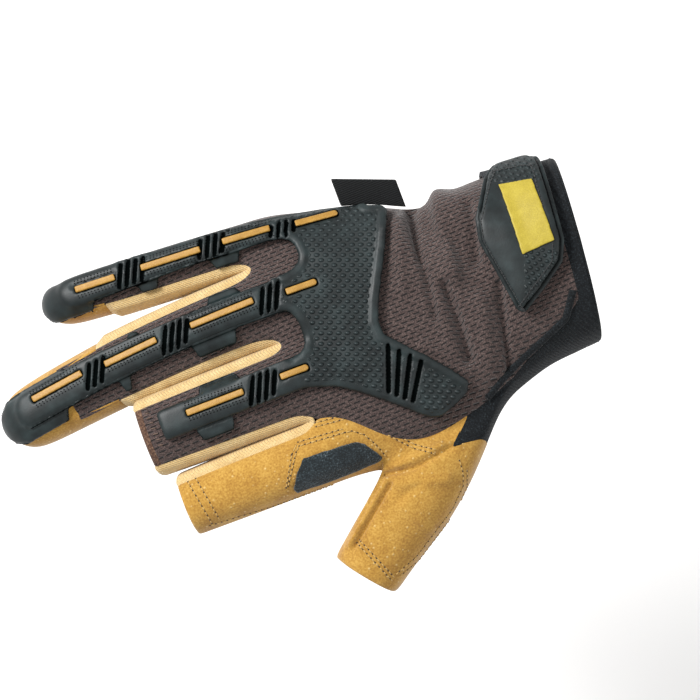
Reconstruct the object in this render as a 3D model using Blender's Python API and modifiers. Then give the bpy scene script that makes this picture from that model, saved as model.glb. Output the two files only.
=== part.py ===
"""Impact glove for the right hand, in the shape it has when worn.

Metres. The origin is the middle of the wrist opening. +X runs to the forearm, the fingers point to -X,
the thumb lies to -Y and the back of the hand faces +Z.
"""
from collections import namedtuple
from math import copysign, cos, exp, radians, sin, tan

import bmesh
import bpy
from mathutils import Vector
from mathutils.bvhtree import BVHTree

# Driving sizes of the hand's shell
HAND_LENGTH = 0.106
HAND_WIDTH = 0.0965
HAND_THICK = 0.033
WRIST_WIDTH = 0.066
WRIST_THICK = 0.052
CUFF_WIDTH = 0.0062
FINGER_THICK = 0.0225
CLOTH_WALL = 0.0015
HEM_LENGTH = 0.0026
PIECE_GAP = 0.0003
# How far a panel's or a finger strip's border lies back from the seam, as shares of the gap
PANEL_SETBACK = 0.62
STRIP_SETBACK = 1.8

# Driving sizes of the thumb
THUMB_LENGTH = 0.0605
THUMB_WIDTH = 0.0245
THUMB_SWING = radians(38)
THUMB_DROP = radians(9)
THUMB_ROOT_SWELL = 1.55
THUMB_ALONG = 0.580
THUMB_ACROSS = 0.431
MOUTH_SLANT = radians(6)

# Driving sizes of the guard, the bars, the patch and the strap
GUARD_THICK = 0.0028
FLANGE_THICK = 0.0013
GROOVE_DEPTH = 0.0011
GROOVE_WIDTH = 0.0016
GROOVE_PITCH = 0.0027
BAR_WIDTH = 0.0022
BAR_PROUD = 0.0005
BAR_DEPTH = 0.0010
PATCH_THICK = 0.0010
STRAP_THICK = 0.0016
STRAP_WIDTH = 0.020
TAB_THICK = 0.0026
PLATE_THICK = 0.0007
LABEL_LENGTH = 0.021
LABEL_WIDTH = 0.010
LABEL_THICK = 0.0012

# Reach of the cutting blocks: their floor, their top and how far a cut passes the guard's own top.
# Corners closer than the merge reach become one.
BLOCK_LOW = -0.030
BLOCK_HIGH = 0.060
OVERCUT = 0.002
MERGE_REACH = 0.00003

# Places along the hand of the strap's edge by the mouth and of the label, as shares of its length, and
# the label's height as a share of the hand's thickness
STRAP_START = 0.055
LABEL_START = 0.475
LABEL_LEVEL = 0.10

# Sections of the hand from the mouth to the finger roots. Along is a share of the hand's length.
# Spread goes from the wrist's width, 0, to the hand's, 1, and flat does so for the thickness.
# Shift is the section's middle towards the little finger as a share of the hand's width.
# Seam is where the back mesh ends on the thumb's side, as a share of the way over the back.
Section = namedtuple("Section", "along spread flat shift seam")
SECTIONS = (
    Section(0.00, 0.00, 0.00, 0.000, 0.30),
    Section(0.10, 0.04, 0.06, 0.000, 0.22),
    Section(0.22, 0.12, 0.35, 0.002, 0.11),
    Section(0.34, 0.22, 0.62, -0.020, 0.06),
    Section(0.44, 0.30, 0.85, -0.050, 0.04),
    Section(0.57, 0.62, 0.96, -0.035, 0.02),
    Section(0.70, 0.82, 1.00, -0.022, 0.02),
    Section(0.84, 0.96, 1.00, -0.004, 0.14),
    Section(1.00, 1.00, 1.00, 0.017, 0.24),
)
# Places of the cage's rings between the mouth and the finger roots, as shares of the hand's length
RINGS = (0.0, CUFF_WIDTH / HAND_LENGTH, 0.11, 0.165, 0.22, 0.275, 0.33, 0.38, 0.43, 0.485, 0.54, 0.60,
         0.665, 0.735, 0.81, 0.88, 0.94, 1.0)
MESH_END_RING = 10
THUMB_RINGS = (8, 14)

# Folds of the back's mesh: ridges above 0 and dips below. Along and across place the middle as shares of
# the hand's length and width, angle turns the fold's line, size and reach are its half widths.
Fold = namedtuple("Fold", "along across angle reach size height")
FOLDS = (
    Fold(0.29, 0.26, 70, 0.22, 0.050, 0.10),
    Fold(0.41, 0.20, 62, 0.25, 0.040, -0.11),
    Fold(0.52, 0.20, 75, 0.22, 0.050, 0.07),
    Fold(0.33, -0.10, 78, 0.20, 0.035, -0.07),
    Fold(0.24, -0.08, 80, 0.20, 0.035, 0.05),
    Fold(0.44, -0.12, 70, 0.20, 0.040, 0.05),
)

# Fingers from the index to the little finger. Root is the share of the hand's width at the finger's root.
# Width is the finger's own as a share of its root, rise lifts the root as a share of the finger's thickness.
# Roll turns the finger about its own line, in degrees.
# Drift moves the tip towards the little finger and bend curves it, both as shares of the length.
# Droop lowers the tip as a share of the length, and open means that the fingertip is cut off.
# Cloth is the share of the length to which the strip at its side runs, back that of the mesh.
Finger = namedtuple("Finger", "name length root width rise drift bend droop roll cloth back open")
FINGERS = (
    Finger("index", 0.0510, 0.240, 0.97, 0.16, 0.000, 0.000, 0.10, -9, 1.00, 1.00, True),
    Finger("middle", 0.0560, 0.296, 0.95, 0.26, 0.010, 0.000, 0.10, -3, 1.00, 1.00, True),
    Finger("ring", 0.1000, 0.280, 0.94, 0.20, 0.020, -0.085, 0.16, 0, 0.56, 0.74, False),
    Finger("little", 0.0730, 0.184, 0.98, 0.04, 0.085, -0.010, 0.14, 14, 0.68, 0.79, False),
)

# Layout of the cage. A finger has bands of faces along it, more on a closed one, from its first ring on.
# Its back and its palm have four columns each, so the back of the hand has four times as many steps.
FINGER_BANDS = {True: 6, False: 10}
FIRST_RING = 0.05
COLUMNS = 4
BACK_STEPS = 4 * COLUMNS
RING_SIZE = 2 * (BACK_STEPS + 1) + 4
# Ring points round the thumb's patch, from the back to the palm
PATCH_COLUMNS = (3, 2, 1, 0, -1, RING_SIZE - 2, RING_SIZE - 3)
PANELS = ("back_mesh", "palm_leather", "index_thumb_leather", "stretch_panel", "cuff_band",
          "fourchette_middle_index", "fourchette_ring_middle", "fourchette_pinky_ring", "middle_hem")
PANEL = {name: number for number, name in enumerate(PANELS)}
# Marks of faces: a closed tip's dome is counted from DOME on, its end's lower rows are TIP_ROW, and the
# thumb's sleeve has THUMB_MARK
DOME = 20
TIP_ROW = 15
THUMB_MARK = 60
# Angles of a finger's section in degrees, over its back and down its side, and how square a section is
BACK_ANGLES = (-48, -24, 0, 24, 48)
SIDE_ANGLES = (74, 105)
ROUNDNESS = 2.25

# Raised rails of the guard on the fingers. Along is a share of the finger's length, little and thumb are
# the rail's two edges from the finger's line as shares of its root, towards those two sides.
Rail = namedtuple("Rail", "along little thumb")
RAILS = {
    "middle": (Rail(0.00, 0.26, -0.15), Rail(0.40, 0.25, -0.15), Rail(0.866, 0.24, -0.15)),
    "ring": (Rail(0.00, 0.25, -0.16), Rail(0.40, 0.26, -0.15), Rail(0.60, 0.29, -0.15),
             Rail(0.80, 0.30, -0.17), Rail(0.97, 0.29, -0.17)),
    "little": (Rail(0.00, 0.40, -0.10), Rail(0.33, 0.42, -0.11), Rail(0.60, 0.43, -0.16),
               Rail(0.80, 0.43, -0.19), Rail(0.97, 0.40, -0.20)),
}
# Thin tabs that reach from a rail to the strips between the fingers, and the covers of the two tips
Tab = namedtuple("Tab", "finger side start end reach")
TABS = (
    Tab("middle", "little", 0.35, 0.60, 0.350),
    Tab("middle", "thumb", 0.47, 0.69, -0.30),
    Tab("ring", "little", 0.09, 0.20, 0.36),
    Tab("ring", "little", 0.46, 0.50, 0.345),
    Tab("ring", "little", 0.74, 0.97, 0.335),
    Tab("ring", "thumb", 0.15, 0.30, -0.32),
    Tab("ring", "thumb", 0.54, 0.575, -0.32),
    Tab("ring", "thumb", 0.78, 0.97, -0.30),
    Tab("little", "thumb", 0.06, 0.19, -0.30),
    Tab("little", "thumb", 0.46, 0.55, -0.33),
    Tab("little", "thumb", 0.78, 0.97, -0.36),
)
# How far a tab's corner leans, and how far the cut over a tab passes its edge as a share of the root
TAB_SHOULDER = 0.0006
TAB_MARGIN = 0.12
# Where the raised rail starts to narrow from the cover of a tip, where it ends, and half its nose's width
# as a share of the root
TIP_RAILS = (("ring", 0.735, 0.925), ("little", 0.775, 0.885))
NOSE_HALF = 0.10
# The panel over the knuckles as shares of the hand's length and width, round from the little finger's side
PANEL_EDGE = ((0.96, 0.490), (0.86, 0.474), (0.74, 0.450), (0.62, 0.418), (0.555, 0.392), (0.540, 0.362),
              (0.59, 0.24), (0.635, 0.145), (0.680, 0.050), (0.702, -0.010), (0.700, -0.060))
HINGE_EDGE = ((0.655, -0.115), (0.595, -0.185), (0.545, -0.250), (0.500, -0.315), (0.515, -0.348),
              (0.565, -0.375), (0.620, -0.395), (0.655, -0.385), (0.695, -0.345), (0.768, -0.275),
              (0.837, -0.215), (0.900, -0.168), (0.960, -0.145))
# Open ends of the two slots between the rails, where the mesh shows, as shares of the hand's length
SLOT_ENDS = {("little", "ring"): 0.860, ("ring", "middle"): 0.940}
# Bars let into the guard, from one share of the finger's length to another. The rail's line is line.
Bar = namedtuple("Bar", "finger start end line")
BARS = (
    Bar("little", 0.640, 0.835, 0.13),
    Bar("little", 0.220, 0.510, 0.14),
    Bar("little", -0.120, 0.110, 0.15),
    Bar("little", -0.445, -0.240, 0.10),
    Bar("ring", 0.690, 0.880, 0.150),
    Bar("ring", 0.410, 0.605, 0.110),
    Bar("ring", 0.055, 0.285, 0.090),
    Bar("ring", -0.170, -0.060, 0.045),
    Bar("middle", 0.350, 0.720, 0.08),
    Bar("middle", -0.070, 0.110, 0.08),
)
# Groups of grooves across the rails: where the group's middle lies as a share of the finger's length, how
# many there are, how far each one leans and how far it runs from the finger's line to either side, as
# shares of its root
Ribs = namedtuple("Ribs", "finger middle count lean little thumb")
RIBS = (
    Ribs("little", 0.560, 4, 0.45, 0.36, -0.12),
    Ribs("little", 0.165, 4, 0.45, 0.34, -0.05),
    Ribs("little", -0.175, 4, 0.45, 0.20, -0.05),
    Ribs("ring", 0.645, 3, 0.45, 0.23, -0.10),
    Ribs("ring", 0.345, 4, 0.45, 0.20, -0.10),
    Ribs("ring", 0.000, 3, 0.45, 0.19, -0.10),
    Ribs("middle", 0.230, 4, 0.45, 0.19, -0.10),
)
# Grooves of the hinge and the plain margin round them, as a share of its length and width
HINGE_GROOVES = 4
HINGE_MARGIN = 0.10
PATCH_EDGE = ((1.150, -0.445), (1.120, -0.375), (1.085, -0.330), (1.016, -0.328), (0.950, -0.335),
              (0.905, -0.345), (0.880, -0.370), (0.855, -0.420), (0.836, -0.468), (0.861, -0.480),
              (1.000, -0.475), (1.140, -0.470))
# The patch is cut out by a leaning block. Its outline counts at the level, and its top and the level are
# shares of the hand's thickness. The patch lies within the reach, in shares of the hand's length.
PATCH_LEAN = radians(32)
PATCH_LEVEL = 0.33
PATCH_BLOCK_TOP = 0.91
PATCH_REACH = (0.72, 1.35)
TAB_EDGE = ((0.165, 0.375), (0.060, 0.368), (0.030, 0.340), (0.030, 0.300), (0.060, 0.020), (0.090, -0.050),
            (0.170, -0.110), (0.255, -0.165), (0.270, -0.150), (0.305, 0.122), (0.290, 0.200), (0.210, 0.335))
PLATE_EDGE = ((0.184, 0.290), (0.078, 0.265), (0.087, 0.025), (0.200, 0.018))


def mix(a, b, share):
    return a + (b - a) * share


def smooth_step(share):
    share = min(max(share, 0.0), 1.0)
    return share * share * (3 - 2 * share)


def read_sections(along):
    """The hand's section at a share of its length, on a smooth curve through the table."""
    last = len(SECTIONS) - 1
    spot = next((n for n in range(last) if SECTIONS[n + 1].along >= along), last - 1)
    rows = [SECTIONS[min(max(spot + step, 0), last)] for step in (-1, 0, 1, 2)]
    t = (along - rows[1].along) / (rows[2].along - rows[1].along)
    values = []
    for p0, p1, p2, p3 in zip(*rows):
        pull = 0.5 * (p2 - p0)
        push = 0.5 * (p3 - p1)
        values.append((2 * t**3 - 3 * t**2 + 1) * p1 + (t**3 - 2 * t**2 + t) * pull
                      + (3 * t**2 - 2 * t**3) * p2 + (t**3 - t**2) * push)
    return Section(*values)


def oval(angle, half_width, top, bottom, power=ROUNDNESS):
    """Side and height of a point on a rounded section, 0 degrees up and 90 to the little finger's side."""
    s = sin(radians(angle))
    c = cos(radians(angle))
    height = top if c >= 0 else bottom
    return (half_width * copysign(abs(s) ** (2 / power), s), height * copysign(abs(c) ** (2 / power), c))


def ring_name(index):
    """Kind of a ring point and its column, counted from the thumb's side."""
    if index == 0:
        return "thumb_side", 0
    if index <= BACK_STEPS + 1:
        return "back", index - 1
    if index <= BACK_STEPS + 3:
        return "little_side", index - BACK_STEPS - 2
    if index <= 2 * BACK_STEPS + 4:
        return "palm", 2 * BACK_STEPS + 4 - index
    return "thumb_side", 1


def fold_height(along, across):
    total = 0.0
    for fold in FOLDS:
        u = along - fold.along
        v = across - fold.across
        turn = radians(fold.angle)
        line = u * cos(turn) + v * sin(turn)
        off = -u * sin(turn) + v * cos(turn)
        total += fold.height * exp(-(line / fold.reach) ** 2 - (off / fold.size) ** 2)
    return total * HAND_THICK


def hand_point(along, index):
    """A point of the hand's sleeve, before it blends into the finger roots."""
    row = read_sections(along)
    half = mix(WRIST_WIDTH / 2, HAND_WIDTH / 2, row.spread)
    top = mix(WRIST_THICK / 2, HAND_THICK * 0.54, row.flat)
    bottom = mix(WRIST_THICK / 2, HAND_THICK * 0.46, row.flat)
    kind, column = ring_name(index)
    edge = 66
    if kind == "back" or kind == "palm":
        seam = mix(-edge, edge, row.seam)
        if column <= COLUMNS:
            angle = mix(-edge, seam, column / COLUMNS)
        else:
            angle = mix(seam, edge, (column - COLUMNS) / (BACK_STEPS - COLUMNS))
        if kind == "palm":
            angle = 180 - mix(-edge, edge, column / BACK_STEPS)
    elif kind == "little_side":
        angle = (82, 98)[column]
    else:
        angle = (-82, -98)[column]
    y, z = oval(angle, half, top, bottom)
    y += row.shift * HAND_WIDTH
    if kind == "back":
        z += fold_height(along, y / HAND_WIDTH)
    slant = y * tan(MOUTH_SLANT) * (1 - smooth_step(along / 0.3))
    return Vector((slant - along * HAND_LENGTH, y, z))


def root_edge(number):
    """The border between two fingers' roots across the hand."""
    return HAND_WIDTH * (sum(f.root for f in FINGERS[:number]) - 0.5 + SECTIONS[-1].shift)


def finger_angle(k):
    if k < 5:
        return BACK_ANGLES[k]
    if k < 7:
        return SIDE_ANGLES[k - 5]
    if k < 12:
        return 180 - BACK_ANGLES[11 - k]
    return -SIDE_ANGLES[13 - k]


def finger_axis(number, t):
    finger = FINGERS[number]
    middle = (root_edge(number) + root_edge(number + 1)) / 2
    x = -HAND_LENGTH - finger.length * t
    y = middle + finger.length * (finger.drift * t + finger.bend * t * t)
    z = FINGER_THICK * finger.rise - finger.length * finger.droop * max(t, 0.0) ** 1.5
    return Vector((x, y, z))


def finger_point(number, t, k, dome=1.0, stretch=0.0):
    """A point of a finger's ring. Dome shrinks the ring for the closed tip."""
    finger = FINGERS[number]
    root = root_edge(number + 1) - root_edge(number)
    here = finger_axis(number, t)
    ahead = (finger_axis(number, t + 0.02) - finger_axis(number, t - 0.02)).normalized()
    across = Vector((0, 0, 1)).cross(-ahead).normalized()
    up = (-ahead).cross(across)
    width = mix(root - 2 * PIECE_GAP, root * finger.width, smooth_step(t * 2.2))
    if finger.open:
        width *= mix(1.0, 0.95, smooth_step((t - 0.4) / 0.6))
    else:
        width *= mix(1.0, 0.90, smooth_step((t - 0.55) / 0.45))
    thick = min(FINGER_THICK, 1.1 * root) * mix(1.12, 0.98, smooth_step(t * 2))
    side, height = oval(finger_angle(k) + finger.roll, width / 2 * dome, thick / 2 * dome, thick / 2 * dome)
    return here + across * side + up * height + ahead * stretch


def new_face(bm, corners, layer, panel):
    face = bm.faces.new(corners)
    face[layer] = panel
    return face


def hand_panel(band, index):
    kind, column = ring_name(index)
    if band == 0:
        return "cuff_band"
    if kind == "back" and column >= COLUMNS or kind == "little_side" and column == 0:
        return "back_mesh"
    if kind == "back" or index == 0:
        return "index_thumb_leather" if band >= MESH_END_RING else "stretch_panel"
    if kind == "thumb_side" or kind == "palm" and column == 0:
        return "palm_leather" if band >= MESH_END_RING else "stretch_panel"
    return "palm_leather"


def finger_panel(number, t, k):
    finger = FINGERS[number]
    strips = ("fourchette_middle_index", "fourchette_ring_middle", "fourchette_pinky_ring")
    if k < 4:
        if number == 0:
            return "index_thumb_leather"
        if number == 1 and t > 1 - HEM_LENGTH / finger.length:
            return "middle_hem"
        return "back_mesh" if t < finger.back else "palm_leather"
    if k < 7:
        if number == 3:
            return "back_mesh" if k < 6 and t < finger.back else "palm_leather"
        return strips[number] if t < finger.cloth else "palm_leather"
    if k < 11:
        return "palm_leather"
    if number == 0:
        return "index_thumb_leather" if k == 13 else "palm_leather"
    return strips[number - 1] if t < finger.cloth else "palm_leather"


def build_cage():
    """The whole outer surface of the glove as quads, each face marked with its panel."""
    bm = bmesh.new()
    bm.faces.layers.int.new("column")
    bm.faces.layers.int.new("panel")
    layer = bm.faces.layers.int["panel"]
    direction = bm.verts.layers.float_vector.new("direction")
    hand = []
    for along in RINGS[:-1]:
        blend = smooth_step((along - 0.78) / 0.22)
        ring = []
        for index in range(RING_SIZE):
            place = hand_point(along, index)
            root = root_ring_point(index)
            root.x += (1 - along) * HAND_LENGTH
            ring.append(bm.verts.new(place.lerp(root, blend)))
        hand.append(ring)
    hand.append([bm.verts.new(root_ring_point(index)) for index in range(RING_SIZE)])
    webs = []
    for number in range(3):
        pair = []
        for step in (5, 6):
            left = finger_point(number, 0, step)
            right = finger_point(number + 1, 0, 18 - step)
            pair.append(bm.verts.new((left + right) / 2))
        webs.append(pair)
    for number in range(4):
        build_finger(bm, layer, hand[-1], webs, number)
    skip = thumb_patch()
    for band in range(len(RINGS) - 1):
        for index in range(RING_SIZE):
            if (band, index) in skip:
                continue
            after = (index + 1) % RING_SIZE
            corners = (hand[band][index], hand[band][after], hand[band + 1][after], hand[band + 1][index])
            new_face(bm, corners, layer, PANEL[hand_panel(band, index)])
    build_thumb(bm, layer, hand)
    bmesh.ops.recalc_face_normals(bm, faces=bm.faces)
    bm.normal_update()
    for vert in bm.verts:
        vert[direction] = vert.normal
    return bm


def root_ring_point(index):
    """A point of the last ring, where each border between two fingers takes the mean of both."""
    kind, column = ring_name(index)
    if kind == "thumb_side":
        return finger_point(0, 0, 13 - column)
    if kind == "little_side":
        return finger_point(3, 0, 5 + column)
    number = min(column // COLUMNS, 3)
    local = column - number * COLUMNS
    k = local if kind == "back" else 11 - local
    place = finger_point(number, 0, k)
    if local == 0 and number > 0:
        other = finger_point(number - 1, 0, 4 if kind == "back" else 7)
        place = (place + other) / 2
    return place


def build_finger(bm, layer, last_ring, webs, number):
    finger = FINGERS[number]
    back = [last_ring[1 + number * COLUMNS + k] for k in range(5)]
    palm = [last_ring[2 * BACK_STEPS + 4 - (number + 1) * COLUMNS + k] for k in range(5)]
    outer = webs[number] if number < 3 else [last_ring[BACK_STEPS + 2], last_ring[BACK_STEPS + 3]]
    inner = webs[number - 1] if number > 0 else [last_ring[0], last_ring[RING_SIZE - 1]]
    rings = [back + outer + palm + [inner[1], inner[0]]]
    bands = FINGER_BANDS[finger.open]
    shares = [0.0]
    for step in range(1, bands + 1):
        t = mix(FIRST_RING, 1.0, ((step - 1) / (bands - 1)) ** 1.1)
        shares.append(t)
    radius = FINGER_THICK / 2
    if finger.open:
        hem = 1 - HEM_LENGTH / finger.length
        shares[-2] = hem
        for t in shares[1:]:
            rings.append([bm.verts.new(finger_point(number, t, k)) for k in range(14)])
    else:
        body = 1 - radius / finger.length
        straight = bands - 3
        shares = [0.0] + [mix(FIRST_RING, body, (step / (straight - 1)) ** 1.05) for step in range(straight)]
        for t in shares[1:]:
            rings.append([bm.verts.new(finger_point(number, t, k)) for k in range(14)])
        for turn in (30, 55, 76):
            dome = cos(radians(turn)) ** 0.85
            ring = [finger_point(number, body, k, dome, radius * sin(radians(turn))) for k in range(14)]
            rings.append([bm.verts.new(place) for place in ring])
            shares.append(body + (1 - body) * sin(radians(turn)))
    for band in range(len(rings) - 1):
        t = (shares[band] + shares[band + 1]) / 2
        for k in range(14):
            after = (k + 1) % 14
            corners = (rings[band][k], rings[band][after], rings[band + 1][after], rings[band + 1][k])
            face = new_face(bm, corners, layer, PANEL[finger_panel(number, t, k)])
            in_dome = not finger.open and band >= bands - 3
            face[bm.faces.layers.int["column"]] = k + 1 + (DOME if in_dome else 0)
    if not finger.open:
        close_tip(bm, layer, rings[-1])


def close_tip(bm, layer, ring):
    """The tip's end as a grid of four by three faces between the ring's back, sides and palm."""
    top = ring[0:5]
    bottom = [ring[11 - k] for k in range(5)]
    rows = [top]
    for step, (left, right) in enumerate(((ring[13], ring[5]), (ring[12], ring[6]))):
        row = [left]
        for column in range(1, 4):
            share = (step + 1) / 3
            spot = top[column].co.lerp(bottom[column].co, share)
            row.append(bm.verts.new(spot))
        row.append(right)
        rows.append(row)
    rows.append(bottom)
    for upper, lower in zip(rows, rows[1:]):
        for column in range(4):
            corners = (upper[column], upper[column + 1], lower[column + 1], lower[column])
            face = new_face(bm, corners, layer, PANEL["palm_leather"])
            face[bm.faces.layers.int["column"]] = DOME + (column + 1 if upper is top else TIP_ROW)


def thumb_patch():
    """Faces of the sleeve that the thumb takes the place of, as band and ring index."""
    cells = set()
    for band in range(*THUMB_RINGS):
        for index in PATCH_COLUMNS[1:]:
            cells.add((band, index % RING_SIZE))
    return cells


def build_thumb(bm, layer, hand):
    """The thumb's sleeve, from the border of its patch to its cut end."""
    first, last = THUMB_RINGS
    top = PATCH_COLUMNS[0]
    bottom = PATCH_COLUMNS[-1]
    down = [index % RING_SIZE for index in range(top, top - 7, -1)]
    border = [(ring, top) for ring in range(first, last)]
    border += [(last, index) for index in down[:-1]]
    border += [(ring, down[-1]) for ring in range(last, first, -1)]
    border += [(first, index) for index in reversed(down[1:])]
    base = [hand[ring][index] for ring, index in border]
    count = len(base)
    upper = last - first
    side = len(down) - 1
    angles = []
    for number in range(count):
        if number < upper:
            angles.append(mix(-52, 52, number / upper))
        elif number < upper + side:
            angles.append(mix(52, 128, (number - upper) / side))
        elif number < 2 * upper + side:
            angles.append(mix(128, 232, (number - upper - side) / upper))
        else:
            angles.append(mix(232, 308, (number - 2 * upper - side) / side))
    start = Vector((-THUMB_ALONG * HAND_LENGTH, -THUMB_ACROSS * HAND_WIDTH, 0.0))
    ahead = Vector((-cos(THUMB_SWING) * cos(THUMB_DROP), -sin(THUMB_SWING) * cos(THUMB_DROP), -sin(THUMB_DROP)))
    across = Vector((0, 0, 1)).cross(ahead).normalized() * -1
    up = ahead.cross(across) * -1
    if up.z < 0:
        up = -up
    rings = [base]
    for t in (0.14, 0.28, 0.42, 0.56, 0.70, 0.85, 1.0):
        swell = mix(THUMB_ROOT_SWELL, 1.0, smooth_step(t))
        ring = []
        for vert, angle in zip(base, angles):
            places = []
            for share, size in ((t, swell), (1.0, 1.0)):
                half = THUMB_WIDTH / 2 * size
                side_off, height = oval(angle, half, half, half)
                places.append(start + ahead * THUMB_LENGTH * share + across * side_off + up * height)
            follow = vert.co + ahead * THUMB_LENGTH * t * 0.6
            round_place = follow.lerp(places[0], smooth_step(0.25 + t * 1.6))
            straight_place = vert.co.lerp(places[1], t)
            beside_hand = smooth_step((80 - abs(angle - 90)) / 50)
            ring.append(bm.verts.new(round_place.lerp(straight_place, beside_hand)))
        rings.append(ring)
    for band in range(len(rings) - 1):
        for number in range(count):
            after = (number + 1) % count
            corners = (rings[band][number], rings[band][after], rings[band + 1][after], rings[band + 1][number])
            at_wrist = band == 0 and (number < MESH_END_RING - first or number >= 2 * upper + side)
            seam = upper + (3 if band == 0 else 2)
            if not at_wrist and (number < seam or number >= count - 3):
                panel = "index_thumb_leather"
            elif upper <= number < 2 * upper + side:
                panel = "palm_leather"
            else:
                panel = "stretch_panel"
            face = new_face(bm, corners, layer, PANEL[panel])
            face[bm.faces.layers.int["column"]] = THUMB_MARK
    soft = {v for ring in rings[1:4] for v in ring} | set(base)
    for step in range(4):
        bmesh.ops.smooth_vert(bm, verts=list(soft), factor=0.5, use_axis_x=True, use_axis_y=True, use_axis_z=True)


def material(name, colour, roughness, metallic=0.0):
    made = bpy.data.materials.new(name)
    made.use_nodes = True
    shader = made.node_tree.nodes["Principled BSDF"]
    shader.inputs["Base Color"].default_value = (*colour, 1.0)
    shader.inputs["Roughness"].default_value = roughness
    shader.inputs["Metallic"].default_value = metallic
    return made


def add_object(bm, name, collection, finish=None):
    mesh = bpy.data.meshes.new(name)
    bm.to_mesh(mesh)
    bm.free()
    item = bpy.data.objects.new(name, mesh)
    collection.objects.link(item)
    if finish:
        mesh.materials.append(finish)
    return item


def thicken(bm, low, high):
    """Turns the open sheet into a closed wall between two heights over the cage."""
    direction = bm.verts.layers.float_vector["direction"]
    made = bmesh.ops.extrude_face_region(bm, geom=bm.faces[:], use_keep_orig=True)
    raised = {g for g in made["geom"] if isinstance(g, bmesh.types.BMVert)}
    for vert in bm.verts:
        vert.co += vert[direction] * (high if vert in raised else low)
    bmesh.ops.triangulate(bm, faces=bm.faces[:], quad_method="SHORT_EDGE")
    bmesh.ops.recalc_face_normals(bm, faces=bm.faces)


def cut_sheet(cage, keep, shrink):
    """A copy of the cage's chosen faces, its border set back so that it clears its neighbours."""
    bm = cage.copy()
    mark = bm.faces.layers.int["panel"]
    column = bm.faces.layers.int["column"]
    bmesh.ops.delete(bm, geom=[f for f in bm.faces if not keep(f, mark, column)], context="FACES")
    moves = {}
    for vert in bm.verts:
        if shrink and vert.is_boundary:
            middle = sum((f.calc_center_median() for f in vert.link_faces), Vector()) / len(vert.link_faces)
            moves[vert] = (middle - vert.co).normalized() * shrink
    bmesh.ops.triangulate(bm, faces=bm.faces[:], quad_method="SHORT_EDGE")
    for vert, move in moves.items():
        vert.co += move
    return bm


def finger_number(name):
    return next(n for n, finger in enumerate(FINGERS) if finger.name == name)


def root_width(number):
    return root_edge(number + 1) - root_edge(number)


def beside_finger(name, along, off):
    """Plan point beside a finger's line. Along may be negative, back over the hand."""
    number = finger_number(name)
    here = finger_axis(number, along)
    if along < 0:
        here.y = finger_axis(number, 0).y + FINGERS[number].length * along * FINGERS[number].drift
    return Vector((here.x, here.y + off * root_width(number)))


def rail_edge(name, side, along):
    rows = RAILS[name]
    along = min(max(along, rows[0].along), rows[-1].along)
    spot = next(n for n in range(len(rows) - 1) if rows[n + 1].along >= along)
    share = (along - rows[spot].along) / (rows[spot + 1].along - rows[spot].along)
    return mix(getattr(rows[spot], side), getattr(rows[spot + 1], side), share)


def side_line(name, side):
    """Plan points along one edge of a finger's guard, from the root to the end."""
    shoulder = TAB_SHOULDER / FINGERS[finger_number(name)].length
    last = RAILS[name][-1].along
    spots = {row.along: rail_edge(name, side, row.along) for row in RAILS[name]}
    for tab in TABS:
        if tab.finger == name and tab.side == side:
            closed = tab.end >= last
            for along in list(spots):
                if tab.start < along < tab.end or closed and along == tab.end:
                    spots[along] = tab.reach
            spots[tab.start - shoulder] = rail_edge(name, side, tab.start)
            spots[tab.start + shoulder] = tab.reach
            if not closed:
                spots[tab.end - shoulder] = tab.reach
                spots[tab.end + shoulder] = rail_edge(name, side, tab.end)
    return [beside_finger(name, along, spots[along]) for along in sorted(spots)]


def end_line(name, start, finish):
    """The rounded end of a finger's guard between its two edges."""
    number = finger_number(name)
    closed = not FINGERS[number].open
    reach = (1.02 - RAILS[name][-1].along) * FINGERS[number].length + 0.010 if closed else 0.002
    middle = (start + finish) / 2
    half = (start - finish) / 2
    points = []
    for turn in (18, 36, 54, 72, 90, 108, 126, 144, 162):
        power = 0.65 if closed else 0.35
        c = cos(radians(turn))
        s = sin(radians(turn))
        points.append(middle + half * copysign(abs(c) ** power, c) + Vector((-reach * s ** power, 0)))
    return points


def slot_line(upper, lower, end):
    """The round end of the slot between two fingers' rails."""
    start = beside_finger(upper, 0.0, rail_edge(upper, "thumb", 0.0))
    finish = beside_finger(lower, 0.0, rail_edge(lower, "little", 0.0))
    middle = (start + finish) / 2
    half = (start - finish) / 2
    reach = (1 - end) * HAND_LENGTH
    points = []
    for turn in (20, 40, 60, 80, 100, 120, 140, 160):
        c = cos(radians(turn))
        s = sin(radians(turn))
        points.append(middle + half * copysign(abs(c) ** 0.7, c) + Vector((reach * s ** 0.7, 0)))
    return points


def plan_points(edge):
    return [Vector((-along * HAND_LENGTH, across * HAND_WIDTH)) for along, across in edge]


def guard_outline():
    """The guard's outline seen from above, round from the panel's thumb side."""
    points = plan_points(PANEL_EDGE + HINGE_EDGE)
    for name, follows in (("middle", "ring"), ("ring", "little"), ("little", None)):
        near = side_line(name, "thumb")
        far = side_line(name, "little")
        if name != "middle":
            near = near[1:]
        points += near + list(reversed(end_line(name, far[-1], near[-1]))) + list(reversed(far))
        if follows:
            points += list(reversed(slot_line(follows, name, SLOT_ENDS[follows, name])))
    return points


def prism(points, low, high, lean=0.0):
    """A closed block over a plan outline. Lean tips its sides towards the thumb's side."""
    bm = bmesh.new()
    lean_step = Vector((0, -tan(lean), 1))
    floor = [bm.verts.new(Vector((p.x, p.y, 0)) + lean_step * low) for p in points]
    face = bm.faces.new(floor)
    made = bmesh.ops.extrude_face_region(bm, geom=[face], use_keep_orig=True)
    raised = [g for g in made["geom"] if isinstance(g, bmesh.types.BMVert)]
    bmesh.ops.translate(bm, verts=raised, vec=lean_step * (high - low))
    bmesh.ops.recalc_face_normals(bm, faces=bm.faces)
    return bm


def join_into(target, source):
    mesh = bpy.data.meshes.new("joined")
    source.to_mesh(mesh)
    source.free()
    target.from_mesh(mesh)
    bpy.data.meshes.remove(mesh)


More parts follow.
